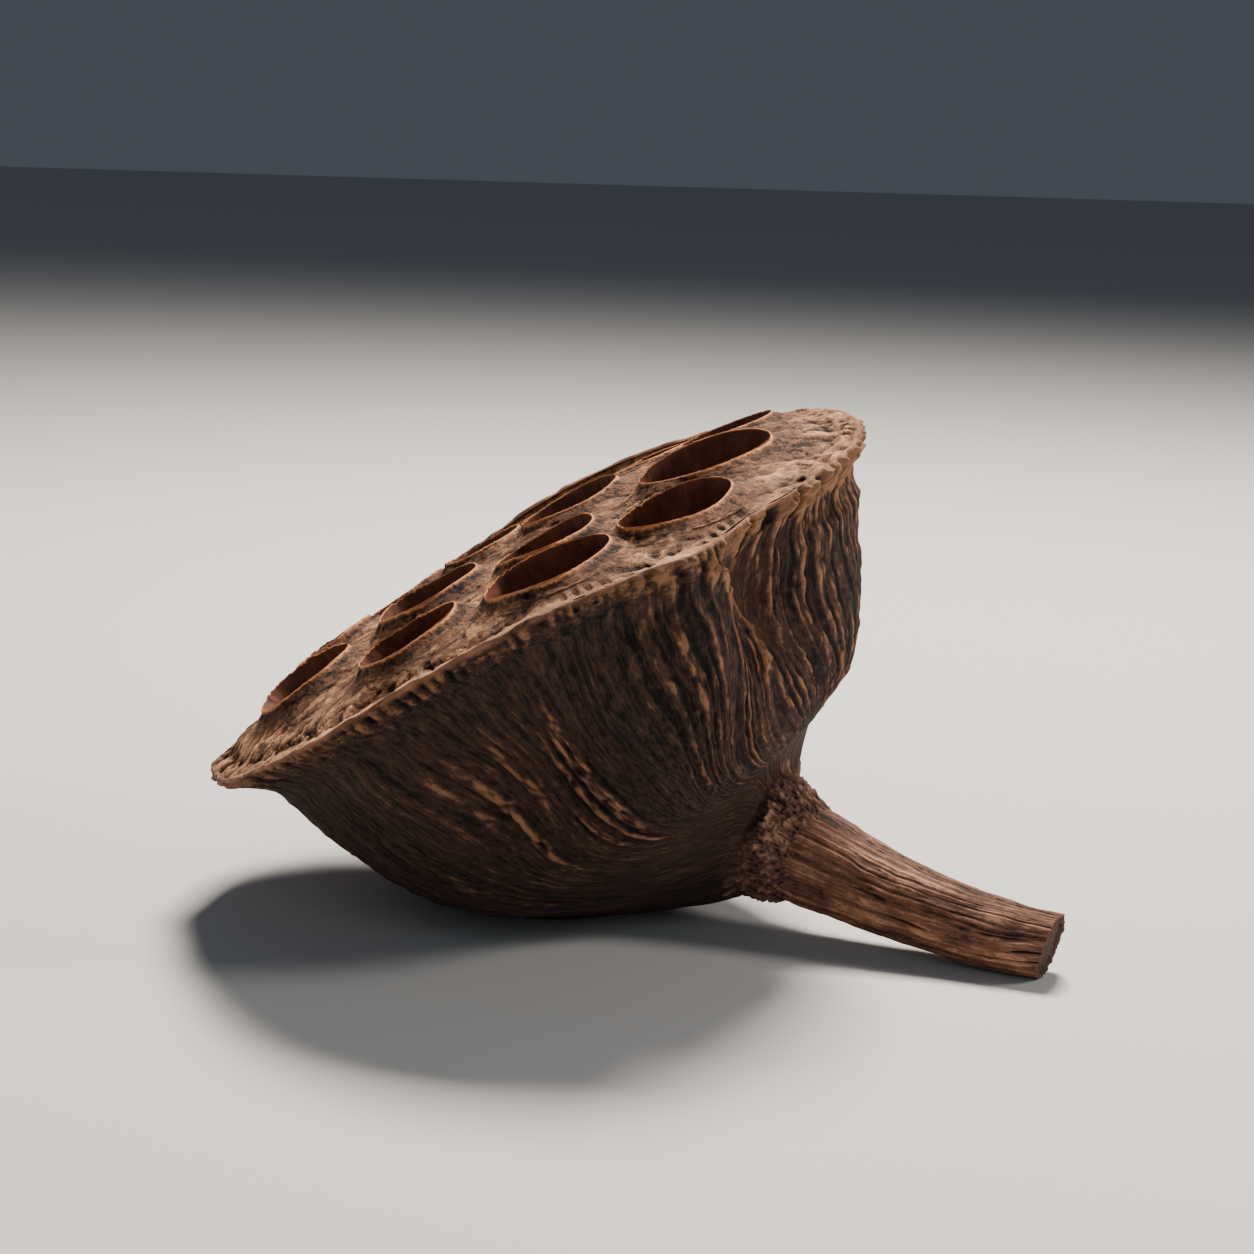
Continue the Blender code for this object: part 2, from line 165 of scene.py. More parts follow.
def ring_frames(s):
    """Centre, half width and two axes of each ring; past s = 1 they follow the stalk."""
    inner = np.minimum(s, 1.0)
    cu, cv, depth, half = [ring_table(inner, k) for k in range(1, 5)]
    centre = TOP_CENTRE + np.outer(cu, U_AXIS) + np.outer(cv, V_AXIS) - np.outer(depth, N_AXIS)
    run = np.maximum(s - 1.0, 0.0) / (COLLAR_END - 1.0)
    centre = centre + np.outer(run * COLLAR_LENGTH, STALK_DIR)
    centre[:, 2] = centre[:, 2] - droop(run * COLLAR_LENGTH)
    capped = np.minimum(run, 1.0)
    collar = half * (1 - capped) ** 2 + STALK_R0 * (1 - (1 - capped) ** 2)
    half = np.where(run > 0, collar + 0.35 * np.sin(np.pi * capped), half)
    turn = (inner ** 5)[:, None]
    normal = unit(-N_AXIS * (1 - turn) + STALK_DIR * turn)
    e1 = unit(U_AXIS - (normal @ U_AXIS)[:, None] * normal)
    return centre, half, e1, np.cross(e1, normal)


def on_rings(centre, e1, e2, radius, angle):
    """Points at a radius and a bearing round the centre of each ring."""
    place = centre[:, None, :] + (radius * np.cos(angle))[..., None] * e1[:, None, :]
    return place + (radius * np.sin(angle))[..., None] * e2[:, None, :]


def wall_relief(angle, s):
    """Broad hollows and swellings of the husk, in millimetres outwards."""
    fold = -3.5 * hump(angle, -45, 9) * np.exp(-((s - 0.17) / 0.15) ** 2)
    crease = 1.7 * hump(angle, -60, 7) * np.exp(-((s - 0.12) / 0.18) ** 2)
    belly = 1.0 * hump(angle, -24, 16) * np.exp(-((s - 0.48) / 0.18) ** 2)
    hollow = -1.9 * hump(angle, -92, 20) * np.exp(-((s - 0.30) / 0.18) ** 2)
    left = -0.9 * hump(angle, 175, 30) * np.exp(-((s - 0.12) / 0.10) ** 2)
    back = -1.4 * hump(angle, 75, 18) * np.exp(-((s - 0.32) / 0.20) ** 2)
    back = back + 0.9 * hump(angle, 120, 16) * np.exp(-((s - 0.40) / 0.2) ** 2)
    sole = 0.75 * hump(angle, 188, 42) * np.exp(-((s - 0.68) / 0.13) ** 2)
    wave = 0.45 * np.sin(6 * angle + 2.0 + 3.0 * s) + 0.30 * np.sin(11 * angle - 4.0 * s)
    wave = wave * np.sqrt(np.sin(np.pi * np.clip(s, 0.0, 1.0)).clip(0, 1))
    return fold + crease + belly + hollow + left + back + sole + wave


def cord_bearing(base, s):
    """Bearing of a cord that starts at base on the rim: it sways as it goes down."""
    sweep = 0.10 * np.sin(2 * base + 0.8) * np.sin(np.pi * np.clip(s, 0, 1))
    sweep = sweep + 0.13 * hump(base, -98, 26) * step_up(s, 0.05, 0.50)
    return base + sweep + 0.022 * np.sin(7 * base + 9.0 * s) * np.clip(s * 4, 0, 1)


SWELL_COUNT = 60
CORD_COUNT = 230
FIBRE_COUNT = 430
FOLD_BEARING = 302.0
LONG_CORDS = (
    (-90.5, 0.9, 0.9, 0.06, 0.66),
    (-92.3, 1.1, 1.1, 0.10, 0.70),
    (-95.7, 1.5, 0.9, 0.16, 0.76),
    (-105.7, 0.9, 0.9, 0.14, 0.44),
    (-113.4, 1.1, 0.9, 0.15, 0.68),
    (-117.5, 0.8, 1.4, 0.08, 0.42),
    (-100.5, 0.5, 0.7, 0.30, 0.80),
    (-76, 0.5, 0.6, 0.06, 0.30),
    (-71, 0.7, 0.9, 0.03, 0.60),
    (-67, 0.9, 0.9, 0.02, 0.75),
    (-63, 0.8, 0.9, 0.02, 0.55),
    (-36, 0.5, 0.8, 0.10, 0.55),
    (97, 0.6, 1.4, 0.15, 0.85),
    (133, 0.5, 1.2, 0.20, 0.85),
    (-138, 0.6, 0.9, 0.30, 0.90),
    (-158, 0.5, 1.0, 0.20, 0.85),
)


def crest_lines(turn, down, cells, seed, sharp, drift=0.55):
    """Crests that run on down the pod: raised where a random profile round it crosses zero,
    with some drift that makes them merge, and each one fading in and out along its way."""
    steady = ring_noise(turn, cells, seed)
    steady = steady + drift * lattice_noise(turn, down, cells, 6, seed + 2)
    line = np.clip(1.0 - np.abs(steady), 0.0, 1.0) ** sharp
    fade = 0.5 + 0.5 * lattice_noise(turn, down, max(cells // 2, 4), 8, seed + 1)
    return line * (0.2 + 0.8 * step_up(fade, 0.2, 0.75))


def stand_out(height, reach, across):
    """How far each spot stands above the mean of its neighbours round the pod."""
    padded = np.concatenate([height[:, -reach:], height, height[:, :reach]], axis=1)
    total = np.cumsum(np.concatenate([np.zeros((len(height), 1)), padded], axis=1), axis=1)
    mean = (total[:, 2 * reach + 1:] - total[:, :-2 * reach - 1]) / (2 * reach + 1)
    return np.clip((height - mean[:, :height.shape[1]]) / across, -1.0, 1.0)


def cord_relief(base, s, half):
    """Height and tone of the husk's skin: ragged crests of three sizes, dense towards the high
    side, long single crests in front, and crumbs and lumps where a crest is worn. The tone
    holds painted light: crests lighter as painted highlight and grooves darker as painted
    shade, besides the skin's own paler crests and crumbs."""
    turn = base / (2 * np.pi) + 0 * s
    down = np.clip(s / 1.3, 0, 1) + 0 * base
    sway = 0.0030 * lattice_noise(turn, down, 22, 4, 21)
    jitter = 0.0006 * lattice_noise(turn, down, 110, 16, 22)
    bearing = cord_bearing(base, s)
    dense = hump(bearing, -5, 42) + 0.8 * hump(bearing, 75, 40) + 0.7 * hump(bearing, 130, 30)
    dense = dense * (1.0 - 0.55 * hump(bearing, 14, 24))
    dense = np.maximum(np.clip(dense, 0, 1), 0.55 * hump(bearing, -62, 12))
    calm = 1.0 - 0.88 * hump(bearing, -79, 10) * (1 - step_up(s, 0.45, 0.85))
    calm = calm * (1.0 - 0.60 * hump(bearing, -100, 20) * (1 - step_up(s, 0.10, 0.24)))
    calm = calm * (1.0 - 0.45 * hump(bearing, 190, 30) * (1 - step_up(s, 0.15, 0.35)))
    room = np.clip(half / 24.0, 0.12, 1.0)
    swell = crest_lines(turn + sway, down, SWELL_COUNT, 31, 1.6)
    cord = crest_lines(turn + 0.8 * sway + jitter, down, CORD_COUNT, 33, 3.0)
    fibre = crest_lines(turn + 1.2 * sway - jitter, down, FIBRE_COUNT, 35, 1.8)
    crumb = lattice_noise(turn, down, 300, 84, 38)
    lump = lattice_noise(turn, down, 150, 44, 39)
    single = np.zeros_like(base + s)
    for place, tall, width, start, stop in LONG_CORDS:
        reach = step_up(s, start, start + 0.16) * (1 - step_up(s, stop - 0.18, stop))
        single = single + tall * hump(base + 5 * sway + 8 * jitter, place, 1.15 * width) * reach
    height = (0.22 + 0.33 * dense) * swell + (0.14 + 0.58 * dense) * cord * (0.8 + 0.5 * lump)
    height = (height + (0.16 + 0.38 * dense) * fibre) * (0.3 + 0.7 * calm) * room
    single = 0.56 * single * np.clip(0.80 + 0.35 * lump + 0.60 * crumb, 0.0, 1.2)
    past = np.degrees(base + 4 * sway) - FOLD_BEARING - 70.0 * np.minimum(s, 0.18)
    past = past - 25.0 * np.clip(s - 0.18, 0.0, 0.20)
    past = (past + 180.0) % 360.0 - 180.0
    brief = step_up(s, 0.01, 0.06) * (1 - step_up(s, 0.30, 0.42))
    ridge = step_up(past, -6.0, -0.6) * (1 - step_up(past, -0.3, 1.3)) * brief
    sheet = np.exp(-((past - 4.6) / 3.4) ** 2) * brief
    single = single + 0.85 * ridge * (0.85 + 0.25 * lump + 0.35 * crumb)
    height = height * (1 - 0.8 * sheet) - 0.35 * sheet + single * np.clip(half / 20.0, 0.25, 1.0)
    height = height * (1.0 - 0.50 * hump(bearing, -11, 14))
    worn = np.clip(height - 0.3, 0.0, 0.9)
    height = height + (0.26 * crumb + 0.12 * lump) * (0.25 + worn) * room
    full = height / np.clip(half / 20.0, 0.2, 1.0)
    reach = max(1, round(full.shape[1] / 350))
    # Painted highlight and shade: a spot above its neighbours is made lighter and one below them
    # darker, more strongly on the lit high side.
    local = 0.20 * stand_out(full, reach, 0.18) + 0.17 * stand_out(full, 3 * reach, 0.45)
    # Painted shade: the tone is made darker on the calm stretches of the front and left, and at the
    # front-left.
    tone = 0.48 - 0.22 * (1 - calm) + 0.12 * sheet + 0.10 * ridge
    local = local * (0.35 + 0.65 * calm) * (1 + 0.8 * hump(bearing, -10, 45))
    tone = tone + local * (1 - 0.7 * sheet) - 0.14 * hump(bearing, -145, 28)
    # Painted highlight and shade: fibre crests are made lighter and dense ground darker; long single
    # crests are lighter, partly in their own paler colour and partly as painted highlight.
    tone = tone + (0.10 + 0.12 * dense) * (fibre - 0.4) - 0.12 * dense
    tone = tone + (0.14 * crumb + 0.08 * lump) * (0.4 + worn)
    tone = tone + 0.42 * np.clip(single, 0.0, 0.5) * (0.3 + 0.7 * hump(bearing, -98, 18))
    # Painted light: the high side just under the rim is made lighter.
    tone = tone + 0.28 * hump(bearing, -5, 32) * (1 - step_up(s, 0.06, 0.18))
    return height - 0.45, np.clip(tone, 0.0, 1.0)


TEETH = 168
LUMPS = 74


def rim_teeth(base, s):
    """Crimped fringe under the rim: small crumbly teeth in front, and on the high side and at the
    low tip larger lumps with deep notches between them. Its values also go into the tone,
    where they paint the lumps lighter as highlight and the notches darker as shade."""
    turn = base / (2 * np.pi)
    wander = 0.35 * ring_noise(turn, 70, 27)
    rough = np.clip(1.5 * hump(base, -12, 34) + 0.75 * hump(base, 180, 30), 0.0, 1.0)
    small = (0.5 + 0.5 * np.cos(2 * np.pi * (TEETH * turn + 2.2 * wander))) ** 0.8
    keep = 0.55 + 0.45 * ring_noise(turn, 90, 28)
    tall = 0.036 + 0.022 * ring_noise(turn, 110, 29)
    gap = step_up(0.5 + 0.5 * np.cos(2 * np.pi * (LUMPS * turn + 1.8 * wander)), 0.60, 0.95)
    gap = gap * (0.65 + 0.35 * ring_noise(turn, 60, 26))
    reach = 0.054 + 0.024 * ring_noise(turn, 90, 25)
    crumb = lattice_noise(turn, np.clip(s * 9, 0, 1), 300, 9, 19)
    fine = step_up(s, 0.001, 0.008) * (1 - step_up(s, 0.45 * tall, tall))
    deep = (0.18 + 0.82 * step_up(s, 0.001, 0.012)) * (1 - step_up(s, 0.95 * reach, 1.30 * reach))
    teeth = keep * (0.75 * (small - 0.60) + 0.42 * crumb) * fine * (1 - 0.5 * rough)
    rough = rough * (1 - 0.5 * hump(base, 2, 14))
    grain = lattice_noise(turn, np.clip(s * 9, 0, 1), 440, 22, 52)
    teeth = teeth + 0.16 * grain * step_up(s, 0.002, 0.012) * (1 - step_up(s, 0.04, 0.08))
    return teeth + rough * deep * (0.70 - 1.90 * gap + 0.45 * crumb)


def wall_points(base, s):
    """Points and tone of the husk skin at rim bearing base and distance s down the wall."""
    angle = cord_bearing(base, s)
    centre, half, e1, e2 = ring_frames(s[:, 0])
    width = half[:, None]
    oval = 1.0 + (rim_radius(angle) / RIM_RU - 1.0) * np.maximum(0.0, 1.0 - s)
    radius = width * oval + wall_relief(angle, s)
    cords, crest = cord_relief(base, s, width)
    teeth = rim_teeth(base, s)
    edge = step_up(s, 0.006, 0.05)
    radius = radius + cords * edge + teeth
    rough = hump(base, -12, 34)
    radius = radius - (0.6 + 0.1 * rough) * np.sin(np.pi * np.clip((s - 0.03) / 0.12, 0, 1))
    trim = np.exp(-((s - 0.12) / 0.10) ** 2) + 0.7 * np.exp(-((s - 0.31) / 0.12) ** 2)
    trim = trim - 0.9 * np.exp(-((s - 0.70) / 0.06) ** 2)
    radius = radius + hump(base, -11, 15) * trim
    # Painted light and shade: the fringe under the rim is made lighter, most of all on the lit high
    # side, and the teeth lighter on their lumps and darker in their notches.
    fringe = 1 - step_up(s, 0.020 + 0.015 * rough, 0.050 + 0.030 * rough)
    crest = crest * edge + 0.52 * (1 - edge) + (0.08 + 0.50 * rough) * fringe + 1.20 * teeth
    crest = np.clip(crest, 0.0, 1.0)
    lift = rim_height(angle) * np.maximum(0.0, 1.0 - s / 0.45) ** 2
    return on_rings(centre, e1, e2, radius, angle) + lift[..., None] * N_AXIS, crest


def settle(place):
    """Presses the belly's lowest bulge flat where the pod lies on the ground."""
    height = place[..., 2]
    pressed = height * step_up(height, 0.15, SOLE_STEP)
    place[..., 2] = np.where(height < SOLE_STEP, np.maximum(pressed, 0.0), height)
    return place


def ring_quads(rows, columns, start=0):
    """Four-sided faces over closed rings of points, which are numbered from start on."""
    number = np.arange(rows * columns).reshape(rows, columns) + start
    right = np.roll(number, -1, axis=1)
    return np.stack([number[:-1], number[1:], right[1:], right[:-1]], -1).reshape(-1, 4)


def surface(name, points, quads, **fields):
    """Smooth object made of four-sided faces over points in millimetres, with named values."""
    mesh = bpy.data.meshes.new(name)
    mesh.vertices.add(len(points))
    mesh.vertices.foreach_set("co", ((points - BOX_CENTRE) * MM).astype(np.float32).ravel())
    mesh.loops.add(quads.size)
    mesh.loops.foreach_set("vertex_index", quads.astype(np.int32).ravel())
    mesh.polygons.add(len(quads))
    mesh.polygons.foreach_set("loop_start", np.arange(0, quads.size, 4, dtype=np.int32))
    mesh.update(calc_edges=True)
    mesh.validate()
    for field, values in fields.items():
        if values.ndim > 1 and values.shape[-1] == 3:
            layer = mesh.attributes.new(field, "FLOAT_VECTOR", "POINT")
            layer.data.foreach_set("vector", values.astype(np.float32).ravel())
        else:
            layer = mesh.attributes.new(field, "FLOAT", "POINT")
            layer.data.foreach_set("value", values.astype(np.float32).ravel())
    mesh.shade_smooth()
    piece = bpy.data.objects.new(name, mesh)
    bpy.context.scene.collection.objects.link(piece)
    return piece


def ring_mesh(name, place, flip=False, **fields):
    """Surface over a grid of points whose rows are closed rings."""
    quads = ring_quads(*place.shape[:2])
    if flip:
        quads = quads[:, ::-1]
    return surface(name, place.reshape(-1, 3), quads, **fields)


def flow_vector(base, s, girth, length, start=0.0):
    """Place on the skin as a point on an upright drum, so grain runs along the cords."""
    zero = np.zeros_like(base + s)
    along = length * s + zero + start
    return np.stack([girth * np.cos(base) + zero, girth * np.sin(base) + zero, along], -1)


def add_node(tree, kind, links=None, **settings):
    """One shader node: links maps an input to a socket to join or a value to set."""
    made = tree.nodes.new(kind)
    for key, value in settings.items():
        setattr(made, key, value)
    for key, value in (links or {}).items():
        if isinstance(value, bpy.types.NodeSocket):
            tree.links.new(value, made.inputs[key])
        else:
            made.inputs[key].default_value = value
    return made


def sum_of(tree, first, second, factor):
    """Socket with first plus second times a plain factor."""
    made = add_node(tree, "ShaderNodeMath", {0: second, 1: factor, 2: first}, operation="MULTIPLY_ADD")
    return made.outputs[0]


def ramp(tree, value, low, high, start=0.0, stop=1.0, kind="LINEAR"):
    """Socket that goes from start to stop while value goes from low to high."""
    links = {"Value": value, "From Min": low, "From Max": high, "To Min": start, "To Max": stop}
    return add_node(tree, "ShaderNodeMapRange", links, interpolation_type=kind).outputs[0]


def blend(tree, share, first, second, kind="MIX"):
    """Colour socket that goes from first to second, or multiplies them, by a share."""
    links = {0: share, 6: first, 7: second}
    return add_node(tree, "ShaderNodeMix", links, data_type="RGBA", blend_type=kind).outputs[2]


def stretch(tree, vector, scale, size, detail=5.0, rough=0.6):
    """Noise over a vector that is stretched by scale, as a socket from 0 to 1."""
    mapped = add_node(tree, "ShaderNodeMapping", {"Vector": vector, "Scale": scale})
    noise = add_node(tree, "ShaderNodeTexNoise",
                     {"Vector": mapped.outputs[0], "Scale": size, "Detail": detail, "Roughness": rough})
    return noise.outputs["Factor"] if "Factor" in noise.outputs else noise.outputs["Fac"]


def new_group(name, inputs, outputs):
    """Empty shader node group with the named sockets and their usual values."""
    tree = bpy.data.node_groups.new(name, "ShaderNodeTree")
    for label, kind, usual in inputs:
        socket = tree.interface.new_socket(label, in_out="INPUT", socket_type=kind)
        if usual is not None:
            socket.default_value = usual
    for label, kind in outputs:
        tree.interface.new_socket(label, in_out="OUTPUT", socket_type=kind)
    return tree, tree.nodes.new("NodeGroupInput"), tree.nodes.new("NodeGroupOutput")


def dry_fibre_group():
    """Dry plant skin: relief and streaks pick groove, body or crest colour; fine streaks bump.
    Where low relief picks it, the groove colour is painted shade; where high relief picks the
    crest colour, that is partly painted highlight.
    """
    tree, given, out = new_group(
        "dry_fibre",
        [("Flow", "NodeSocketVector", None),
         ("Relief", "NodeSocketFloat", 0.5),
         ("Groove", "NodeSocketColor", paint(21, 14, 12)),
         ("Body", "NodeSocketColor", paint(76, 51, 40)),
         ("Crest", "NodeSocketColor", paint(178, 125, 88)),
         ("Bleach", "NodeSocketFloat", 0.25)],
        [("Color", "NodeSocketColor"), ("Roughness", "NodeSocketFloat"), ("Height", "NodeSocketFloat")])
    flow = given.outputs["Flow"]
    streak = stretch(tree, flow, (1.0, 1.0, 0.16), 1.3, 7.0, 0.75)
    thread = stretch(tree, flow, (1.0, 1.0, 0.22), 3.0, 4.0, 0.7)
    blotch = stretch(tree, flow, (1.0, 1.0, 0.7), 0.13, 3.0)
    crumb = stretch(tree, flow, (1.0, 1.0, 0.50), 1.8, 6.0, 0.8)
    level = sum_of(tree, given.outputs["Relief"], streak, 0.80)
    level = sum_of(tree, level, thread, 0.95)
    level = sum_of(tree, level, blotch, 0.30)
    level = sum_of(tree, level, crumb, 1.00)
    level = add_node(tree, "ShaderNodeMath", {0: level, 1: 1.525}, operation="SUBTRACT").outputs[0]
    dark = ramp(tree, level, 0.08, 0.50, kind="SMOOTHSTEP")
    pale = ramp(tree, level, 0.48, 1.05, kind="SMOOTHSTEP")
    low = blend(tree, dark, given.outputs["Groove"], given.outputs["Body"])
    high = blend(tree, pale, low, given.outputs["Crest"])
    worn = ramp(tree, stretch(tree, flow, (1.0, 1.0, 0.35), 0.32, 6.0, 0.7), 0.50, 0.72)
    worn = add_node(tree, "ShaderNodeMath", {0: worn, 1: given.outputs["Bleach"]}, operation="MULTIPLY")
    grey = add_node(tree, "ShaderNodeHueSaturation", {"Saturation": 0.55, "Value": 1.10, "Color": high})
    bump = sum_of(tree, streak, thread, 1.4)
    bump = sum_of(tree, bump, crumb, 1.1)
    tree.links.new(blend(tree, worn.outputs[0], high, grey.outputs[0]), out.inputs["Color"])
    tree.links.new(ramp(tree, level, 0.0, 1.0, 0.92, 0.62), out.inputs["Roughness"])
    tree.links.new(bump, out.inputs["Height"])
    return tree


DRY_FIBRE = dry_fibre_group()


def read_field(tree, field):
    return add_node(tree, "ShaderNodeAttribute", attribute_name=field)


def fibre_skin(tree, flow, relief, **own):
    """Dry fibre on a surface's flow and relief values, with the colours that it has of its own."""
    links = {"Flow": flow.outputs["Vector"], "Relief": relief.outputs["Fac"], **own}
    return add_node(tree, "ShaderNodeGroup", links, node_tree=DRY_FIBRE)


def start_material(name, specular):
    """Principled material whose plain values sit on the shader's own sockets."""
    material = bpy.data.materials.new(name)
    material.use_nodes = True
    shader = material.node_tree.nodes["Principled BSDF"]
    shader.inputs["Specular IOR Level"].default_value = specular
    return material, material.node_tree, shader


def finish_material(tree, shader, colour, roughness, height, depth_mm):
    """Joins colour, roughness and a bump of the given depth to the shader."""
    links = {"Height": height, "Distance": depth_mm * MM, "Strength": 1.0}
    bump = add_node(tree, "ShaderNodeBump", links)
    tree.links.new(colour, shader.inputs["Base Color"])
    tree.links.new(roughness, shader.inputs["Roughness"])
    tree.links.new(bump.outputs[0], shader.inputs["Normal"])


def husk_material():
    """Husk skin: dry fibre, with a dusty pink-tan line along the crimped edge of the rim."""
    material, tree, shader = start_material("husk_skin", 0.28)
    flow, relief, edge = [read_field(tree, field) for field in ("flow", "relief", "edge")]
    skin = fibre_skin(tree, flow, relief)
    colour = blend(tree, edge.outputs["Fac"], skin.outputs["Color"], paint(216, 150, 116))
    finish_material(tree, shader, colour, skin.outputs["Roughness"], skin.outputs["Height"], 0.42)
    return material


GRAIN_GIRTH = 36.0
WALL_COLUMNS = 1060
ROLL_ROWS = 5
ROLL_WIDTH = 0.62
ROLL_HEIGHT = 0.20


def husk_wall():
    """Husk skin from the rolled rim edge to the neck, with the rows closest near the rim."""
    base = once_round(WALL_COLUMNS)
    turn = base / (2 * np.pi)
    s = np.concatenate([np.linspace(0.0, 0.12, 24)[:-1], np.linspace(0.12, 1.0, 65)])[:, None]
    place, relief = wall_points(base, s)
    edge = place[:1]
    roll = np.linspace(1.0, 0.0, ROLL_ROWS + 1)[:-1, None]
    inward = unit(TOP_CENTRE + rim_height(base)[..., None] * N_AXIS - edge)
    nick = 0.10 * ring_noise(turn, 170, 30) + 0.12 * ring_noise(turn, 60, 51)
    arch = (ROLL_HEIGHT + nick) * np.sin(np.pi * np.minimum(roll * 0.9 + 0.1, 1.0))
    lip = edge + (ROLL_WIDTH * roll)[..., None] * inward + arch[..., None] * N_AXIS
    place = settle(np.concatenate([lip, place]))
    relief = np.concatenate([np.repeat(relief[:1], ROLL_ROWS, axis=0), relief])
    s = np.concatenate([-0.02 * roll, s])
    mask = np.clip(0.62 + 0.30 * ring_noise(turn, 260, 32) + 0.45 * ring_noise(turn, 46, 50), 0, 1)
    mask = mask * (1.0 - step_up(s, -0.002, 0.010))
    flow = flow_vector(base, s + 5.0 * np.minimum(s, 0.05), GRAIN_GIRTH, 52.0)
    piece = ring_mesh("husk_wall", place, relief=relief, edge=mask, flow=flow)
    piece.data.materials.append(husk_material())
    return piece


wall = husk_wall()
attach(wall, "root")
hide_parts("receptacle")


# TOP FACE
# The flat, slightly domed face of the receptacle, weathered to grey-tan paper. A ripe seed
# has dropped out of each chamber and left a mouth with a thin torn lip, standing on a low
# cone; fine cracks run round the cones and a row of small pits follows the rim. Cracks, pits
# and notches are painted dark as shade, and the lip's bright colour is partly painted highlight.

DOME_RISE = 4.6
DOME_POWER = 3.0
LIP_HEIGHT = 1.5
TOP_SPAN = 90.0
MARGIN = 3.6
MARGIN_LEAST = 0.9
PIT_RATE = 98
NOTCH_RATE = 58
PATCH_COLUMNS = 228
CONE_REACH = 2.6
PATCH_SHIFT = 17.0
CHAMBERS = (
    (-22.7, -5.8, 5.2),
    (-9.2, -20.5, 5.3),
    (5.4, -22.8, 6.3),
    (18.0, -18.0, 5.6),
    (22.0, -2.8, 6.7),
    (-8.3, -3.0, 5.6),
    (5.0, -9.4, 5.2),
    (7.3, 7.6, 5.3),
    (-3.2, 11.8, 4.3),
    (-12.8, 14.2, 4.3),
    (-21.2, 8.2, 4.6),
    (25.0, 11.0, 4.9),
    (14.8, 20.2, 5.3),
    (1.8, 22.8, 5.2),
    (-11.9, 24.2, 4.6),
)


def dome_height(pu, pv):
    """Low dome over the top: rim height blended in, plus a rise that fades to the back."""
    angle = np.arctan2(pv, pu)
    rho = np.hypot(pu, pv) / rim_radius(angle)
    dome = DOME_RISE * (1.0 - np.minimum(rho, 1.0) ** DOME_POWER)
    swell = 0.25 * np.sin(pu * 0.31 + 1.0) * np.sin(pv * 0.37 + 0.4) * (1.0 - rho ** 2)
    near, far = np.maximum(pv, 0.0), np.maximum(pv - 12.0, 0.0)
    fall = (0.0032 * near ** 2 + 0.012 * far ** 2) * (1.0 - rho ** 4)
    return rim_height(angle) * rho ** 2 + dome + swell - fall


def lip_height(cv):
    """Height of a mouth's cone: lower on the shaded back half, where the skin sank more."""
    return LIP_HEIGHT * (1.0 - 0.45 * np.clip((cv - 4.0) / 12.0, 0.0, 1.0))


def crater_height(pu, pv):
    """Each mouth stands on a low cone that falls away over about three millimetres."""
    best = np.zeros_like(pu)
    for cu, cv, radius in CHAMBERS:
        away = np.maximum(np.hypot(pu - cu, pv - cv) - radius, 0.0)
        best = np.maximum(best, lip_height(cv) * np.exp(-(away / 1.35) ** 1.2))
    return best


def mouth_radius(chamber, phi):
    """Mouth outline: a circle with a slight two-fold and five-fold wobble."""
    cu, cv, radius = chamber
    return radius * (1.0 + 0.025 * np.sin(2 * phi + cu) + 0.015 * np.sin(5 * phi + cv))


def margin_width(angle):
    """Width of the flat band inside the rim: less where a mouth stands close to the rim."""
    edge = rim_radius(angle)
    width = np.full_like(angle, MARGIN)
    for cu, cv, radius in CHAMBERS:
        along = cu * np.cos(angle) + cv * np.sin(angle)
        room = (radius + 1.0) ** 2 - cu ** 2 - cv ** 2 + along ** 2
        limit = np.where(room > 0, edge - along - np.sqrt(np.maximum(room, 0.0)), MARGIN)
        width = np.where((along > 0) & (room > 0), np.minimum(width, limit), width)
    return np.maximum(width, MARGIN_LEAST)


def cell_reach(number, phi):
    """How far a mouth's own patch of the top goes at bearing phi: to the halfway line with
    each neighbour, moved towards the smaller mouth, or to the rim, whichever is nearer."""
    cu, cv, radius = CHAMBERS[number]
    reach = np.full_like(phi, TOP_SPAN)
    for du, dv, size in CHAMBERS[:number] + CHAMBERS[number + 1:]:
        towards = 2.0 * ((du - cu) * np.cos(phi) + (dv - cv) * np.sin(phi))
        gap = (du - cu) ** 2 + (dv - cv) ** 2 + radius ** 2 - size ** 2
        reach = np.where(towards > 1e-6, np.minimum(reach, gap / np.maximum(towards, 1e-6)), reach)
    low, high = np.zeros_like(phi), np.full_like(phi, TOP_SPAN)
    for _ in range(28):
        middle = 0.5 * (low + high)
        pu, pv = cu + middle * np.cos(phi), cv + middle * np.sin(phi)
        bearing = np.arctan2(pv, pu)
        inside = np.hypot(pu, pv) < rim_radius(bearing) - margin_width(bearing) + 0.15
        low, high = np.where(inside, middle, low), np.where(inside, high, middle)
    return np.minimum(reach + 0.1, low)


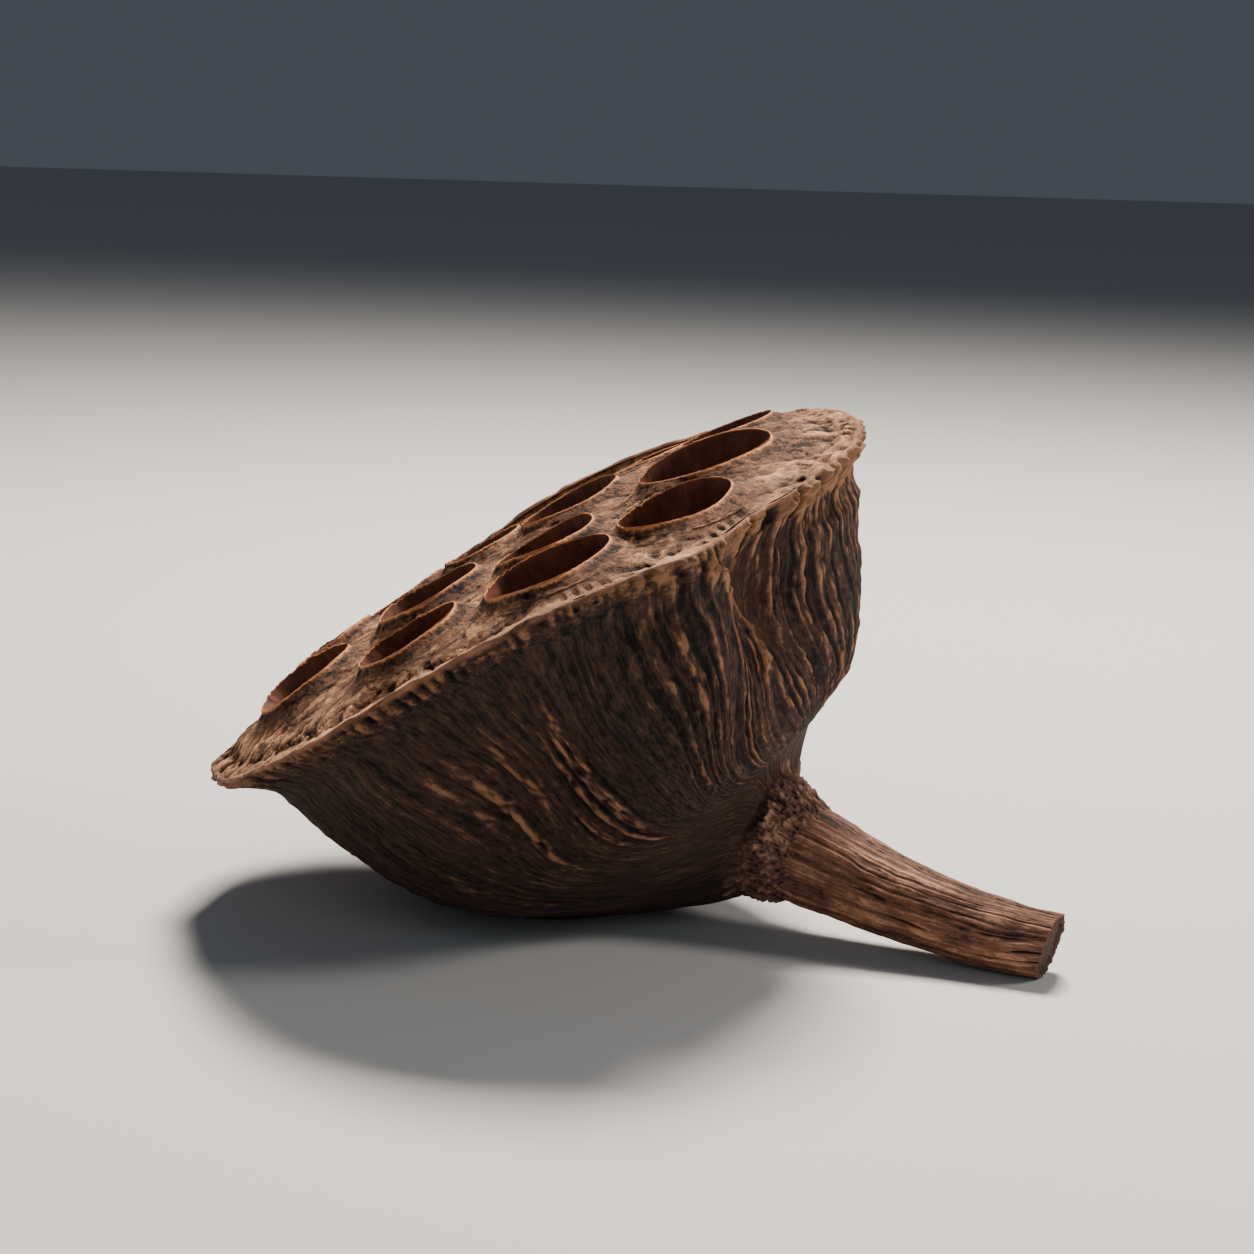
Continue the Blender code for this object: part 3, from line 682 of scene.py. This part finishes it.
def top_skin(pu, pv):
    """Small relief of the weathered skin over the whole top, and how pale each spot is: lumps,
    flakes and cracks between the cones, pits along the rim, and notches at the low end.
    Cracks, splits, pits and notches are painted darker as shade, and the raised knobs on the
    high side lighter as highlight."""
    x, y = pu / TOP_SPAN + 0.5, pv / TOP_SPAN + 0.5
    lumps = lattice_noise(x, y, 22, 22, 41)
    wrinkle = 1.0 - 2.0 * np.abs(lattice_noise(x + 0.02 * lumps, y, 90, 60, 42))
    flake = lattice_noise(x, y + 0.01 * lumps, 170, 170, 43)
    sheet = lattice_noise(x + 0.006 * flake, y + 0.01 * lumps, 60, 60, 47)
    torn = step_up(sheet, 0.02, 0.08) - 0.5
    vein = lattice_noise(x + 0.03 * lumps + 0.004 * flake, y, 36, 54, 44)
    crack = step_up(1.0 - np.abs(vein), 0.86, 0.96)
    angle = np.arctan2(pv, pu)
    turn = angle / (2 * np.pi)
    margin = rim_radius(angle) - np.hypot(pu, pv)
    wander = 3 * ring_noise(turn, 40, 45)
    shift = 0.25 * ring_noise(turn, 120, 48)
    bead = 0.5 + 0.5 * np.cos(PIT_RATE * angle + 2.5 * wander)
    pits = step_up(bead, 0.30, 0.80) * np.exp(-((margin - 1.45 - shift) / 0.50) ** 2)
    pits = pits * step_up(ring_noise(turn, 70, 46), -0.5, 0.5) * (1 - 0.55 * hump(angle, 85, 70))
    ledge = 1.0 - step_up(margin + 0.4 * lumps, 2.1, 2.6)
    split = np.exp(-((margin - 2.75 - 0.5 * lumps) / 0.20) ** 2)
    split = split * step_up(lumps + 2.0 * flake, -0.4, 0.3)
    notch = step_up(0.5 + 0.5 * np.cos(NOTCH_RATE * angle + wander), 0.35, 0.8)
    notch = notch * hump(angle, 174, 34) * np.exp(-((margin - 1.2) / 1.3) ** 2)
    band = step_up(margin, 1.2, 3.0)
    groove = -0.40 * np.exp(-((margin - 2.6) / 1.0) ** 2)
    height = band * (0.16 * lumps + 0.06 * wrinkle + 0.05 * flake + 0.14 * torn - 0.32 * crack)
    height = height + 0.05 * flake - 0.60 * pits - 0.95 * notch + groove
    worn = step_up(lattice_noise(x, y, 40, 40, 49) + 0.5 * flake, 0.45, 0.62)
    tone = 0.66 + 0.14 * lumps + 0.20 * flake - 0.50 * worn
    # Painted shade: cracks are made darker.
    tone = tone + band * (0.12 * wrinkle + 0.30 * torn - 0.80 * crack)
    height = height - 0.12 * worn - 0.22 * split
    high_side = hump(angle, -12, 34)
    knob = lattice_noise(turn, margin / 5.0, 170, 8, 54) * high_side
    height = height + 0.40 * knob * step_up(margin, 0.4, 0.9) * ledge
    # Painted highlight: the raised knobs on the high side are made lighter.
    pale = 0.96 + 0.50 * hump(angle, -110, 45) - 0.12 * high_side + 0.60 * knob
    # Painted shade: splits, pits and notches are made darker.
    tone = tone * (1 - 0.60 * ledge) + 0.60 * ledge * (pale + 0.25 * flake) - 0.55 * split
    tone = tone - 1.05 * pits - 0.75 * notch
    return height, tone


def lip_profile(away):
    """Section of the thin lip: a rounded bead 0.2 mm high and about as wide."""
    return 0.20 * np.exp(-((away - 0.04) / 0.12) ** 2)


def lip_tear(number, phi):
    """Random profile along a mouth's torn lip, and its chips, which are larger on one side."""
    turn = phi / (2 * np.pi)
    torn = ring_noise(turn, 190, 120 + number)
    side = 0.6 * np.cos(phi - 2.2) + 0.5 * ring_noise(turn, 9, 150 + number)
    return torn, (0.03 + 0.13 * step_up(side, 0.2, 0.7)) * torn


def top_place(pu, pv, height):
    """Points at pu and pv along the top's axes, and at a height out of it."""
    return TOP_CENTRE + pu[..., None] * U_AXIS + pv[..., None] * V_AXIS + height[..., None] * N_AXIS


def top_patches():
    """One ring-shaped grid for each mouth, from its lip out to the edge of its patch."""
    phi = once_round(PATCH_COLUMNS)
    lip_rows = np.array([0.0, 0.05, 0.10, 0.16, 0.23, 0.33, 0.50, 0.80])[:, None]
    outer = (np.linspace(0.0, 1.0, 21)[1:, None]) ** 1.25
    places, quads, tones, lips, flows = [], [], [], [], []
    for number, chamber in enumerate(CHAMBERS):
        cu, cv, _ = chamber
        mouth = mouth_radius(chamber, phi)
        free = np.maximum(cell_reach(number, phi) - mouth, 0.05)
        lip = np.minimum(lip_rows, lip_rows / 0.80 * free * 0.75)
        away = np.concatenate([lip, lip[-1:] + outer * (free - lip[-1:])])
        pu = cu + (mouth + away) * np.cos(phi)
        pv = cv + (mouth + away) * np.sin(phi)
        skin, tone = top_skin(pu, pv)
        turn = phi / (2 * np.pi) + 0 * away
        near = np.exp(-(away / CONE_REACH) ** 2)
        rings = 1.0 - 2.0 * np.abs(lattice_noise(turn, away / 9.0, 20, 26, 60 + number))
        rays = lattice_noise(turn + 0.004 * rings, away / 9.0, 130, 5, 90 + number)
        grit = lattice_noise(turn, away / 9.0, 150, 46, 180 + number)
        torn, chips = lip_tear(number, phi)
        height = dome_height(pu, pv) + crater_height(pu, pv) + lip_profile(away)
        height = height + chips * np.exp(-(away / 0.25) ** 2) + skin * (1 - near)
        height = height + near * (0.075 * rings + 0.05 * rays + 0.05 * grit) * step_up(away, 0.2, 0.6)
        tone = tone * (1 - near) + near * (0.42 + 0.20 * rings + 0.12 * rays + 0.14 * grit)
        tone = tone - 0.22 * np.exp(-((away - 0.62) / 0.30) ** 2)
        quads.append(ring_quads(*pu.shape, number * pu.size))
        places.append(top_place(pu, pv, height).reshape(-1, 3))
        tones.append(tone.ravel())
        lips.append((1.0 - step_up(away + 0.04 * torn, 0.08, 0.19)).ravel())
        flows.append(flow_vector(phi, away, 5.0, 6.0, PATCH_SHIFT * number).reshape(-1, 3))
    return [np.concatenate(part) for part in (places, quads, tones, lips, flows)]


def top_material():
    """Weathered top: grey-tan paper with cracks painted dark as shade, and a torn lip in bright
    orange-tan, partly its own colour and partly painted highlight.
    """
    material, tree, shader = start_material("weathered_top", 0.25)
    flow, tone, lip = [read_field(tree, field) for field in ("flow", "relief", "lip")]
    spot = add_node(tree, "ShaderNodeTexCoord").outputs["Object"]
    skin = fibre_skin(tree, flow, tone, Groove=paint(36, 23, 18), Body=paint(116, 74, 50),
                      Crest=paint(206, 150, 108), Bleach=0.15)
    stain = stretch(tree, spot, (1.0, 1.0, 1.0), 260.0, 5.0, 0.65)
    stain = ramp(tree, stain, 0.38, 0.60, 0.50, 1.15)
    stained = blend(tree, 1.0, skin.outputs["Color"], stain, "MULTIPLY")
    fleck = stretch(tree, spot, (1.0, 1.0, 1.0), 1400.0, 2.0, 0.5)
    torn = ramp(tree, fleck, 0.35, 0.65, 0.75, 1.1)
    # Lip colour, brightened partly as painted highlight.
    lip_colour_and_highlight = blend(tree, 1.0, paint(236, 158, 108), torn, "MULTIPLY")
    colour = blend(tree, lip.outputs["Fac"], stained, lip_colour_and_highlight)
    height = sum_of(tree, skin.outputs["Height"], fleck, 0.8)
    finish_material(tree, shader, colour, skin.outputs["Roughness"], height, 0.13)
    return material


places, quads, tones, lips, flows = top_patches()
top = surface("top_face", places, quads, relief=np.clip(tones, 0, 1), lip=lips, flow=flows)
top.data.materials.append(top_material())
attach(top, "root")
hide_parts("receptacle")


# TOP MARGIN
# The band of skin between the mouths' patches and the rim, as fine as its pits and notches
# need. It carries on the top's skin and material, and its outer edge follows the wall's rim.

MARGIN_EDGE = 0.4
BAND_COLUMNS = 1300


def top_margin():
    """Rings from just inside the rim to the patches' edge. The outer ones are shifted as far as
    the wall's real rim departs from the plain outline, so that its lip covers their edge."""
    angle = once_round(BAND_COLUMNS)
    share = np.linspace(1.0, 0.0, 17)[:, None]
    margin = MARGIN_EDGE + (margin_width(angle) - MARGIN_EDGE) * (1 - share)
    out = rim_radius(angle) - margin
    pu, pv = out * np.cos(angle), out * np.sin(angle)
    skin, tone = top_skin(pu, pv)
    away = np.full_like(pu, TOP_SPAN)
    for cu, cv, radius in CHAMBERS:
        away = np.minimum(away, np.hypot(pu - cu, pv - cv) - radius)
    near = np.exp(-(np.maximum(away, 0.0) / CONE_REACH) ** 2)
    height = dome_height(pu, pv) + crater_height(pu, pv) + skin * (1 - near)
    rim = wall_points(angle, np.zeros((1, 1)))[0] - TOP_CENTRE
    shift = (np.hypot(rim @ U_AXIS, rim @ V_AXIS) - rim_radius(angle)) * share
    pu, pv = pu + shift * np.cos(angle), pv + shift * np.sin(angle)
    tone = tone * (1 - near) + near * 0.46
    return top_place(pu, pv, height), tone, flow_vector(angle, margin, GRAIN_GIRTH, 6.0)


place, tone, flow = top_margin()
band = ring_mesh("top_margin", place, True, relief=np.clip(tone, 0, 1), lip=0 * tone, flow=flow)
band.data.materials.append(top.data.materials[0])
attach(band, "root")
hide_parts("receptacle")


# SEED CHAMBERS
# The empty sockets below the mouths: smooth leathery cups, rust-brown near the mouth and
# painted almost black towards the bottom as shade, with faint streaks down their walls.

CHAMBER_DEPTH = 11.0
CHAMBER_LEAN = 0.20
CUP_COLUMNS = 120
CUP_PROFILE = ((0.0, 0.9, 4.6, 8.8, 10.4, 11.0), (1.0, 0.985, 0.95, 0.80, 0.52, 0.0))


def chamber_cups():
    """Cup under each mouth: the mouth's outline shrunk along a curve, its floor closed."""
    phi = once_round(CUP_COLUMNS)
    run = np.concatenate([[0.0, 0.012, 0.024, 0.04], np.linspace(0.06, 1.0, 22)])[:, None]
    down = CHAMBER_DEPTH * (1.0 - (1.0 - run) ** 1.35)
    share = np.interp(down, *CUP_PROFILE)
    share = np.where(run > 0.93, share * np.clip((1.0 - run) / 0.07, 0, 1) ** 0.5, share)
    lean = 1.0 - CHAMBER_LEAN * down / CHAMBER_DEPTH
    turn, along = phi / (2 * np.pi) + 0 * run, run + 0 * phi
    places, quads, depths, flows = [], [], [], []
    for number, chamber in enumerate(CHAMBERS):
        cu, cv, _ = chamber
        mouth = mouth_radius(chamber, phi)
        ripple = 0.10 * lattice_noise(turn, along, 34, 3, 200 + number)
        ripple = ripple + 0.05 * lattice_noise(turn, along, 60, 10, 230 + number)
        ripple = ripple * np.sin(np.pi * run)
        pu = cu * lean + mouth * np.cos(phi) * (share + ripple * share / 5.0)
        pv = cv * lean + mouth * np.sin(phi) * (share + ripple * share / 5.0)
        rim = dome_height(cu + mouth * np.cos(phi), cv + mouth * np.sin(phi)) + lip_height(cv)
        rim = rim + lip_profile(0.0) + lip_tear(number, phi)[1]
        middle = dome_height(np.array(cu), np.array(cv)) + lip_height(cv)
        lower = step_up(down, 0.0, 4.0)
        height = rim * (1 - lower) + middle * lower - down
        inward = ring_quads(*pu.shape, number * pu.size)[:, [0, 3, 2, 1]]
        quads.append(inward)
        places.append(top_place(pu, pv, height).reshape(-1, 3))
        depths.append((down / CHAMBER_DEPTH + 0 * phi).ravel())
        flows.append(flow_vector(phi, down, 5.5, 1.0, PATCH_SHIFT * number).reshape(-1, 3))
    return [np.concatenate(part) for part in (places, quads, depths, flows)]


def chamber_material():
    """Chamber lining: rust-brown skin with soft streaks, painted darker with depth as shade,
    with a bright edge at the mouth that is partly painted highlight.
    """
    material, tree, shader = start_material("chamber_lining", 0.12)
    flow, depth = read_field(tree, "flow"), read_field(tree, "depth")
    streak = stretch(tree, flow.outputs["Vector"], (1.0, 1.0, 0.45), 1.1, 5.0)
    cloud = stretch(tree, flow.outputs["Vector"], (1.0, 1.0, 1.0), 0.42, 5.0)
    level = sum_of(tree, streak, cloud, 1.0)
    lining = blend(tree, ramp(tree, level, 0.7, 1.35), paint(66, 38, 29), paint(128, 80, 61))
    # Painted shade: the lining turns almost black with depth.
    shade = ramp(tree, depth.outputs["Fac"], 0.15, 1.05, kind="SMOOTHSTEP")
    # The mouth's edge is bright orange-tan, partly its own colour and partly painted highlight.
    edge = ramp(tree, depth.outputs["Fac"], 0.003, 0.012, 1.0, 0.0)
    colour = blend(tree, edge, blend(tree, shade, lining, paint(34, 18, 15)), paint(226, 150, 104))
    finish_material(tree, shader, colour, ramp(tree, level, 0.7, 1.35, 0.5, 0.75), level, 0.10)
    return material


places, quads, depths, flows = chamber_cups()
cups = surface("seed_chambers", places, quads, depth=depths, flow=flows)
cups.data.materials.append(chamber_material())
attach(cups, "root")
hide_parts("receptacle")


# SCAR COLLAR
# Where petals and stamens once stood, a rough ring of small knobs and pits marks the neck
# between husk and stalk. It is the same dry tissue, its pits painted darker as shade and its
# knobs lighter as highlight.

COLLAR_COLUMNS = 700


def collar_points(base, s):
    """Neck surface: the husk's rings with knobs, pimples and grit of random height added where
    the scar is, and sunk under the stalk's flared start at its far end."""
    centre, half, e1, e2 = ring_frames(s[:, 0])
    turn, down = base / (2 * np.pi) + 0 * s, (s - 0.9) / 0.4 + 0 * base
    knob = lattice_noise(turn, down, 15, 8, 301)
    pimple = lattice_noise(turn + 0.01 * knob, down, 58, 22, 302)
    scale = lattice_noise(turn, down + 0.01 * pimple, 100, 36, 304)
    grit = lattice_noise(turn, down, 170, 64, 303)
    rough = step_up(s + 0.04 * knob + 0.02 * pimple + 0.01 * scale, 0.955, 1.080)
    rough = rough * (1 - 0.6 * step_up(s, 1.14, 1.24))
    cords, crest = cord_relief(base, np.minimum(s, 1.05), half[:, None])
    bumps = np.maximum(pimple, -0.25) + 0.6 * np.maximum(scale, -0.3)
    sink = step_up(s + 0.045 * knob + 0.030 * pimple, 1.05, 1.22)
    under = 0.30 * (1 - step_up(s + 0.025 * knob + 0.015 * pimple + 0.01 * scale, 0.950, 1.000))
    relief = rough * (0.14 * knob + 0.32 * bumps + 0.12 * grit + 0.06) - sink - under
    radius = half[:, None] + wall_relief(cord_bearing(base, s), s) * (s < 1.0)
    radius = radius + cords * (1 - 0.6 * rough) + relief
    # Painted shade and highlight: on the scar, the pits are made darker and the knobs lighter, by the
    # values that shape them.
    tone = crest * (1 - rough) + rough * (0.40 + 0.10 * knob + 0.42 * bumps + 0.18 * grit)
    return on_rings(centre, e1, e2, radius, base), np.clip(tone, 0, 1), rough


def collar_material():
    """Scar tissue: dry fibre in colours of its own, with painted shade where it meets the wall
    above it and where it runs under the stalk.
    """
    material, tree, shader = start_material("scar_tissue", 0.25)
    flow, relief, scar = [read_field(tree, field) for field in ("flow", "relief", "scar")]
    skin = fibre_skin(tree, flow, relief, Groove=paint(32, 21, 17), Body=paint(104, 72, 58),
                      Crest=paint(170, 125, 98))
    # Painted shade: darker where the scar fades out, at the wall above and under the stalk's start.
    share = ramp(tree, scar.outputs["Fac"], 0.30, 1.0, 0.40, 1.0)
    colour = blend(tree, 1.0, skin.outputs["Color"], share, "MULTIPLY")
    finish_material(tree, shader, colour, skin.outputs["Roughness"], skin.outputs["Height"], 0.15)
    return material


base = once_round(COLLAR_COLUMNS)
s = np.linspace(0.94, 1.27, 92)[:, None]
place, tone, scar = collar_points(base, s)
collar = ring_mesh("scar_collar", settle(place), relief=tone, scar=scar,
                   flow=flow_vector(base, s, 9.0, 30.0))
collar.data.materials.append(collar_material())
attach(collar, "root")
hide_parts("receptacle")


# STALK
# A short length of the flower's stalk, dried red-brown and hard. Its skin has shrunk into
# lengthways ribs, lighter partly as painted highlight, with cracks between them painted dark
# as shade, and one clean cut with a slightly splintered edge ends it.

STALK_GAP = 0.3
STALK_R1 = 3.45
STALK_BOW = -0.8
STALK_COLUMNS = 300


def stalk_points(phi, t):
    """Stalk skin: a tapered tube on a bowed line, ribs and cracks running along it."""
    start, _, e1, e2 = [part[0] for part in ring_frames(np.array([COLLAR_END]))]
    start = start + STALK_GAP * STALK_DIR
    start[2] = start[2] + droop(COLLAR_LENGTH)
    length = np.linalg.norm(CUT_END - start)
    sag = unit(np.cross(STALK_DIR, e2))
    inner = np.clip(t, 0, 1)
    bow = STALK_BOW * 0.5 * np.sin(np.pi * inner)
    line = start + (CUT_END - start) * t[..., None] + bow[..., None] * sag
    line[..., 2] = line[..., 2] - droop(COLLAR_LENGTH + STALK_GAP + length * t)
    radius = STALK_R0 + (STALK_R1 - STALK_R0) * inner ** 0.6
    back = np.clip(-t * length / COLLAR_LENGTH, 0.0, 1.0)
    radius = radius + 1.7 * back ** 2 + 0.15 * np.sin(np.pi * back) - 0.12
    turn = phi / (2 * np.pi) + 0 * t
    along = inner + 0 * phi
    sway = 0.010 * lattice_noise(turn, along, 9, 4, 400)
    sway = sway + 0.003 * lattice_noise(turn, along, 30, 14, 408)
    rib = crest_lines(turn + sway, along, 26, 401, 1.5, 0.2)
    strand = crest_lines(turn + sway, along, 76, 403, 1.5, 0.2)
    thread = crest_lines(turn + sway, along, 150, 405, 1.2, 0.2)
    seam = step_up(1.0 - np.abs(ring_noise(turn + 1.4 * sway, 30, 407)), 0.80, 0.97)
    open_part = step_up(lattice_noise(turn, along, 24, 5, 409), -0.10, 0.35)
    crack = seam * open_part * step_up(t, 0.02, 0.18)
    knot = lattice_noise(turn, along, 16, 14, 410)
    height = 0.26 * rib + 0.17 * strand + 0.06 * thread - 0.30 * crack + 0.05 * knot - 0.22
    splinter = ring_noise(turn, 90, 406)
    # Painted highlight and shade: ribs and strands are made lighter, partly in their own colour, and
    # cracks darker, by the values that shape them.
    tone = 0.16 + 0.36 * rib + 0.40 * strand + 0.16 * thread - 0.7 * crack + 0.08 * knot
    return line, radius, height, tone, splinter, e1, e2


def stalk_grid():
    """Side and cut face in one grid: past the cut the rings close in on the middle."""
    phi = once_round(STALK_COLUMNS)
    side = np.linspace(-0.31, 1.0, 200)[:, None]
    line, radius, height, tone, splinter, e1, e2 = stalk_points(phi, side)
    radius = radius + height - 0.75 * (1 - step_up(side, -0.27, -0.09))
    twist = phi + 0.25 * np.clip(side, 0, 1)
    line = line + (0.07 * splinter * step_up(side, 0.97, 1.0))[..., None] * STALK_DIR
    around = np.cos(twist)[..., None] * e1 + np.sin(twist)[..., None] * e2
    place = line + radius[..., None] * around
    shrink = np.concatenate([[0.985, 0.95], np.linspace(0.9, 0.02, 26)])[:, None]
    turn = phi / (2 * np.pi) + 0 * shrink
    pulp = lattice_noise(turn, shrink + 0 * phi, 40, 12, 411) * shrink
    dent = 0.05 - 0.42 * step_up(1.0 - shrink, 0.03, 0.25) + 0.14 * pulp
    face = CUT_END + (radius[-1:] * shrink)[..., None] * around[-1:]
    face = face + (dent + 0.07 * splinter[-1:] * shrink ** 6)[..., None] * STALK_DIR
    place = np.concatenate([place, face])
    tone = np.concatenate([tone, 0.35 + 0.3 * pulp])
    cut = np.concatenate([0 * side + 0 * phi, step_up(1.0 - shrink, 0.01, 0.08) + 0 * phi])
    length = np.concatenate([side * 24.0, 24.0 + (1.0 - shrink) * 3.0])
    flow = flow_vector(phi, length, 4.2, 1.0)
    return place, np.clip(tone, 0, 1), cut, flow


def stalk_material():
    """Stalk skin: red-brown fibre with a slight sheen; its cut face is dull dark pith."""
    material, tree, shader = start_material("stalk_skin", 0.38)
    flow, relief, cut = [read_field(tree, field) for field in ("flow", "relief", "cut")]
    skin = fibre_skin(tree, flow, relief, Groove=paint(38, 22, 17), Body=paint(112, 71, 53),
                      Crest=paint(190, 133, 101))
    pith = stretch(tree, flow.outputs["Vector"], (1.0, 1.0, 1.0), 2.4, 4.0, 0.7)
    face = blend(tree, ramp(tree, pith, 0.3, 0.7), paint(40, 26, 20), paint(92, 66, 50))
    colour = blend(tree, cut.outputs["Fac"], skin.outputs["Color"], face)
    finish_material(tree, shader, colour, skin.outputs["Roughness"], skin.outputs["Height"], 0.12)
    return material


place, tone, cut, flow = stalk_grid()
place[..., 2] = np.maximum(place[..., 2], 0.0)
stalk = ring_mesh("cut_stalk", place, relief=tone, cut=cut, flow=flow)
stalk.data.materials.append(stalk_material())
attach(stalk, "root")
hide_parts("stem")


# FLOOR, LIGHT AND CAMERA
# A plain pale floor and three soft lights: the main one is high and behind, as the pod was
# lit, with a weak cool fill in front and a small warm light at the right. The camera is low.

floor_mesh = bpy.data.meshes.new("floor")
floor_mesh.from_pydata([(-3, -3, 0), (3, -3, 0), (3, 3, 0), (-3, 3, 0)], [], [(0, 1, 2, 3)])
floor = bpy.data.objects.new("floor", floor_mesh)
bpy.context.scene.collection.objects.link(floor)
floor_material, _, floor_shader = start_material("pale_floor", 0.3)
floor_shader.inputs["Base Color"].default_value = paint(205, 203, 200)
floor_shader.inputs["Roughness"].default_value = 0.8
floor_mesh.materials.append(floor_material)


def soft_light(name, place, aim, size, power, colour):
    """Square area light at one point, turned to face another, all in metres."""
    light = bpy.data.lights.new(name, "AREA")
    light.size = size
    light.energy = power
    light.color = colour
    lamp = bpy.data.objects.new(name, light)
    back = unit(np.array(place, float) - np.array(aim, float))
    side = unit(np.cross([0.0, 0.0, 1.0], back))
    above = np.cross(back, side)
    rows = [[side[i], above[i], back[i], place[i]] for i in range(3)]
    lamp.matrix_world = Matrix(rows + [[0, 0, 0, 1]])
    bpy.context.scene.collection.objects.link(lamp)


soft_light("key_light", (0.06, 0.24, 0.48), (0, 0, 0.03), 0.16, 7.8, (1.0, 0.93, 0.84))
soft_light("fill_light", (0.02, -0.50, 0.24), (0, 0, 0.02), 0.40, 0.48, (0.82, 0.92, 1.0))
soft_light("right_light", (0.46, -0.05, 0.26), (0, 0, 0.03), 0.12, 1.3, (1.0, 0.94, 0.87))

world = bpy.data.worlds.new("studio")
world.use_nodes = True
world.node_tree.nodes["Background"].inputs["Color"].default_value = (0.68, 0.80, 1.0, 1.0)
world.node_tree.nodes["Background"].inputs["Strength"].default_value = 0.09
bpy.context.scene.world = world

CAMERA_PLACE = np.array([8.1015, -256.9, 79.6611]) - BOX_CENTRE
CAMERA_RIGHT = np.array([0.99956, 0.0, 0.029666])
CAMERA_UP = np.array([-0.029121, 0.190809, 0.981195])
CAMERA_BACK = np.array([-0.005661, -0.981627, 0.190725])
lens = bpy.data.cameras.new("photo_camera")
lens.lens = 75.0
lens.sensor_width = 36.0
lens.clip_start = 0.005
camera = bpy.data.objects.new("photo_camera", lens)
rows = [[CAMERA_RIGHT[i], CAMERA_UP[i], CAMERA_BACK[i], CAMERA_PLACE[i] * MM] for i in range(3)]
camera.matrix_world = Matrix(rows + [[0, 0, 0, 1]])
bpy.context.scene.collection.objects.link(camera)
bpy.context.scene.camera = camera
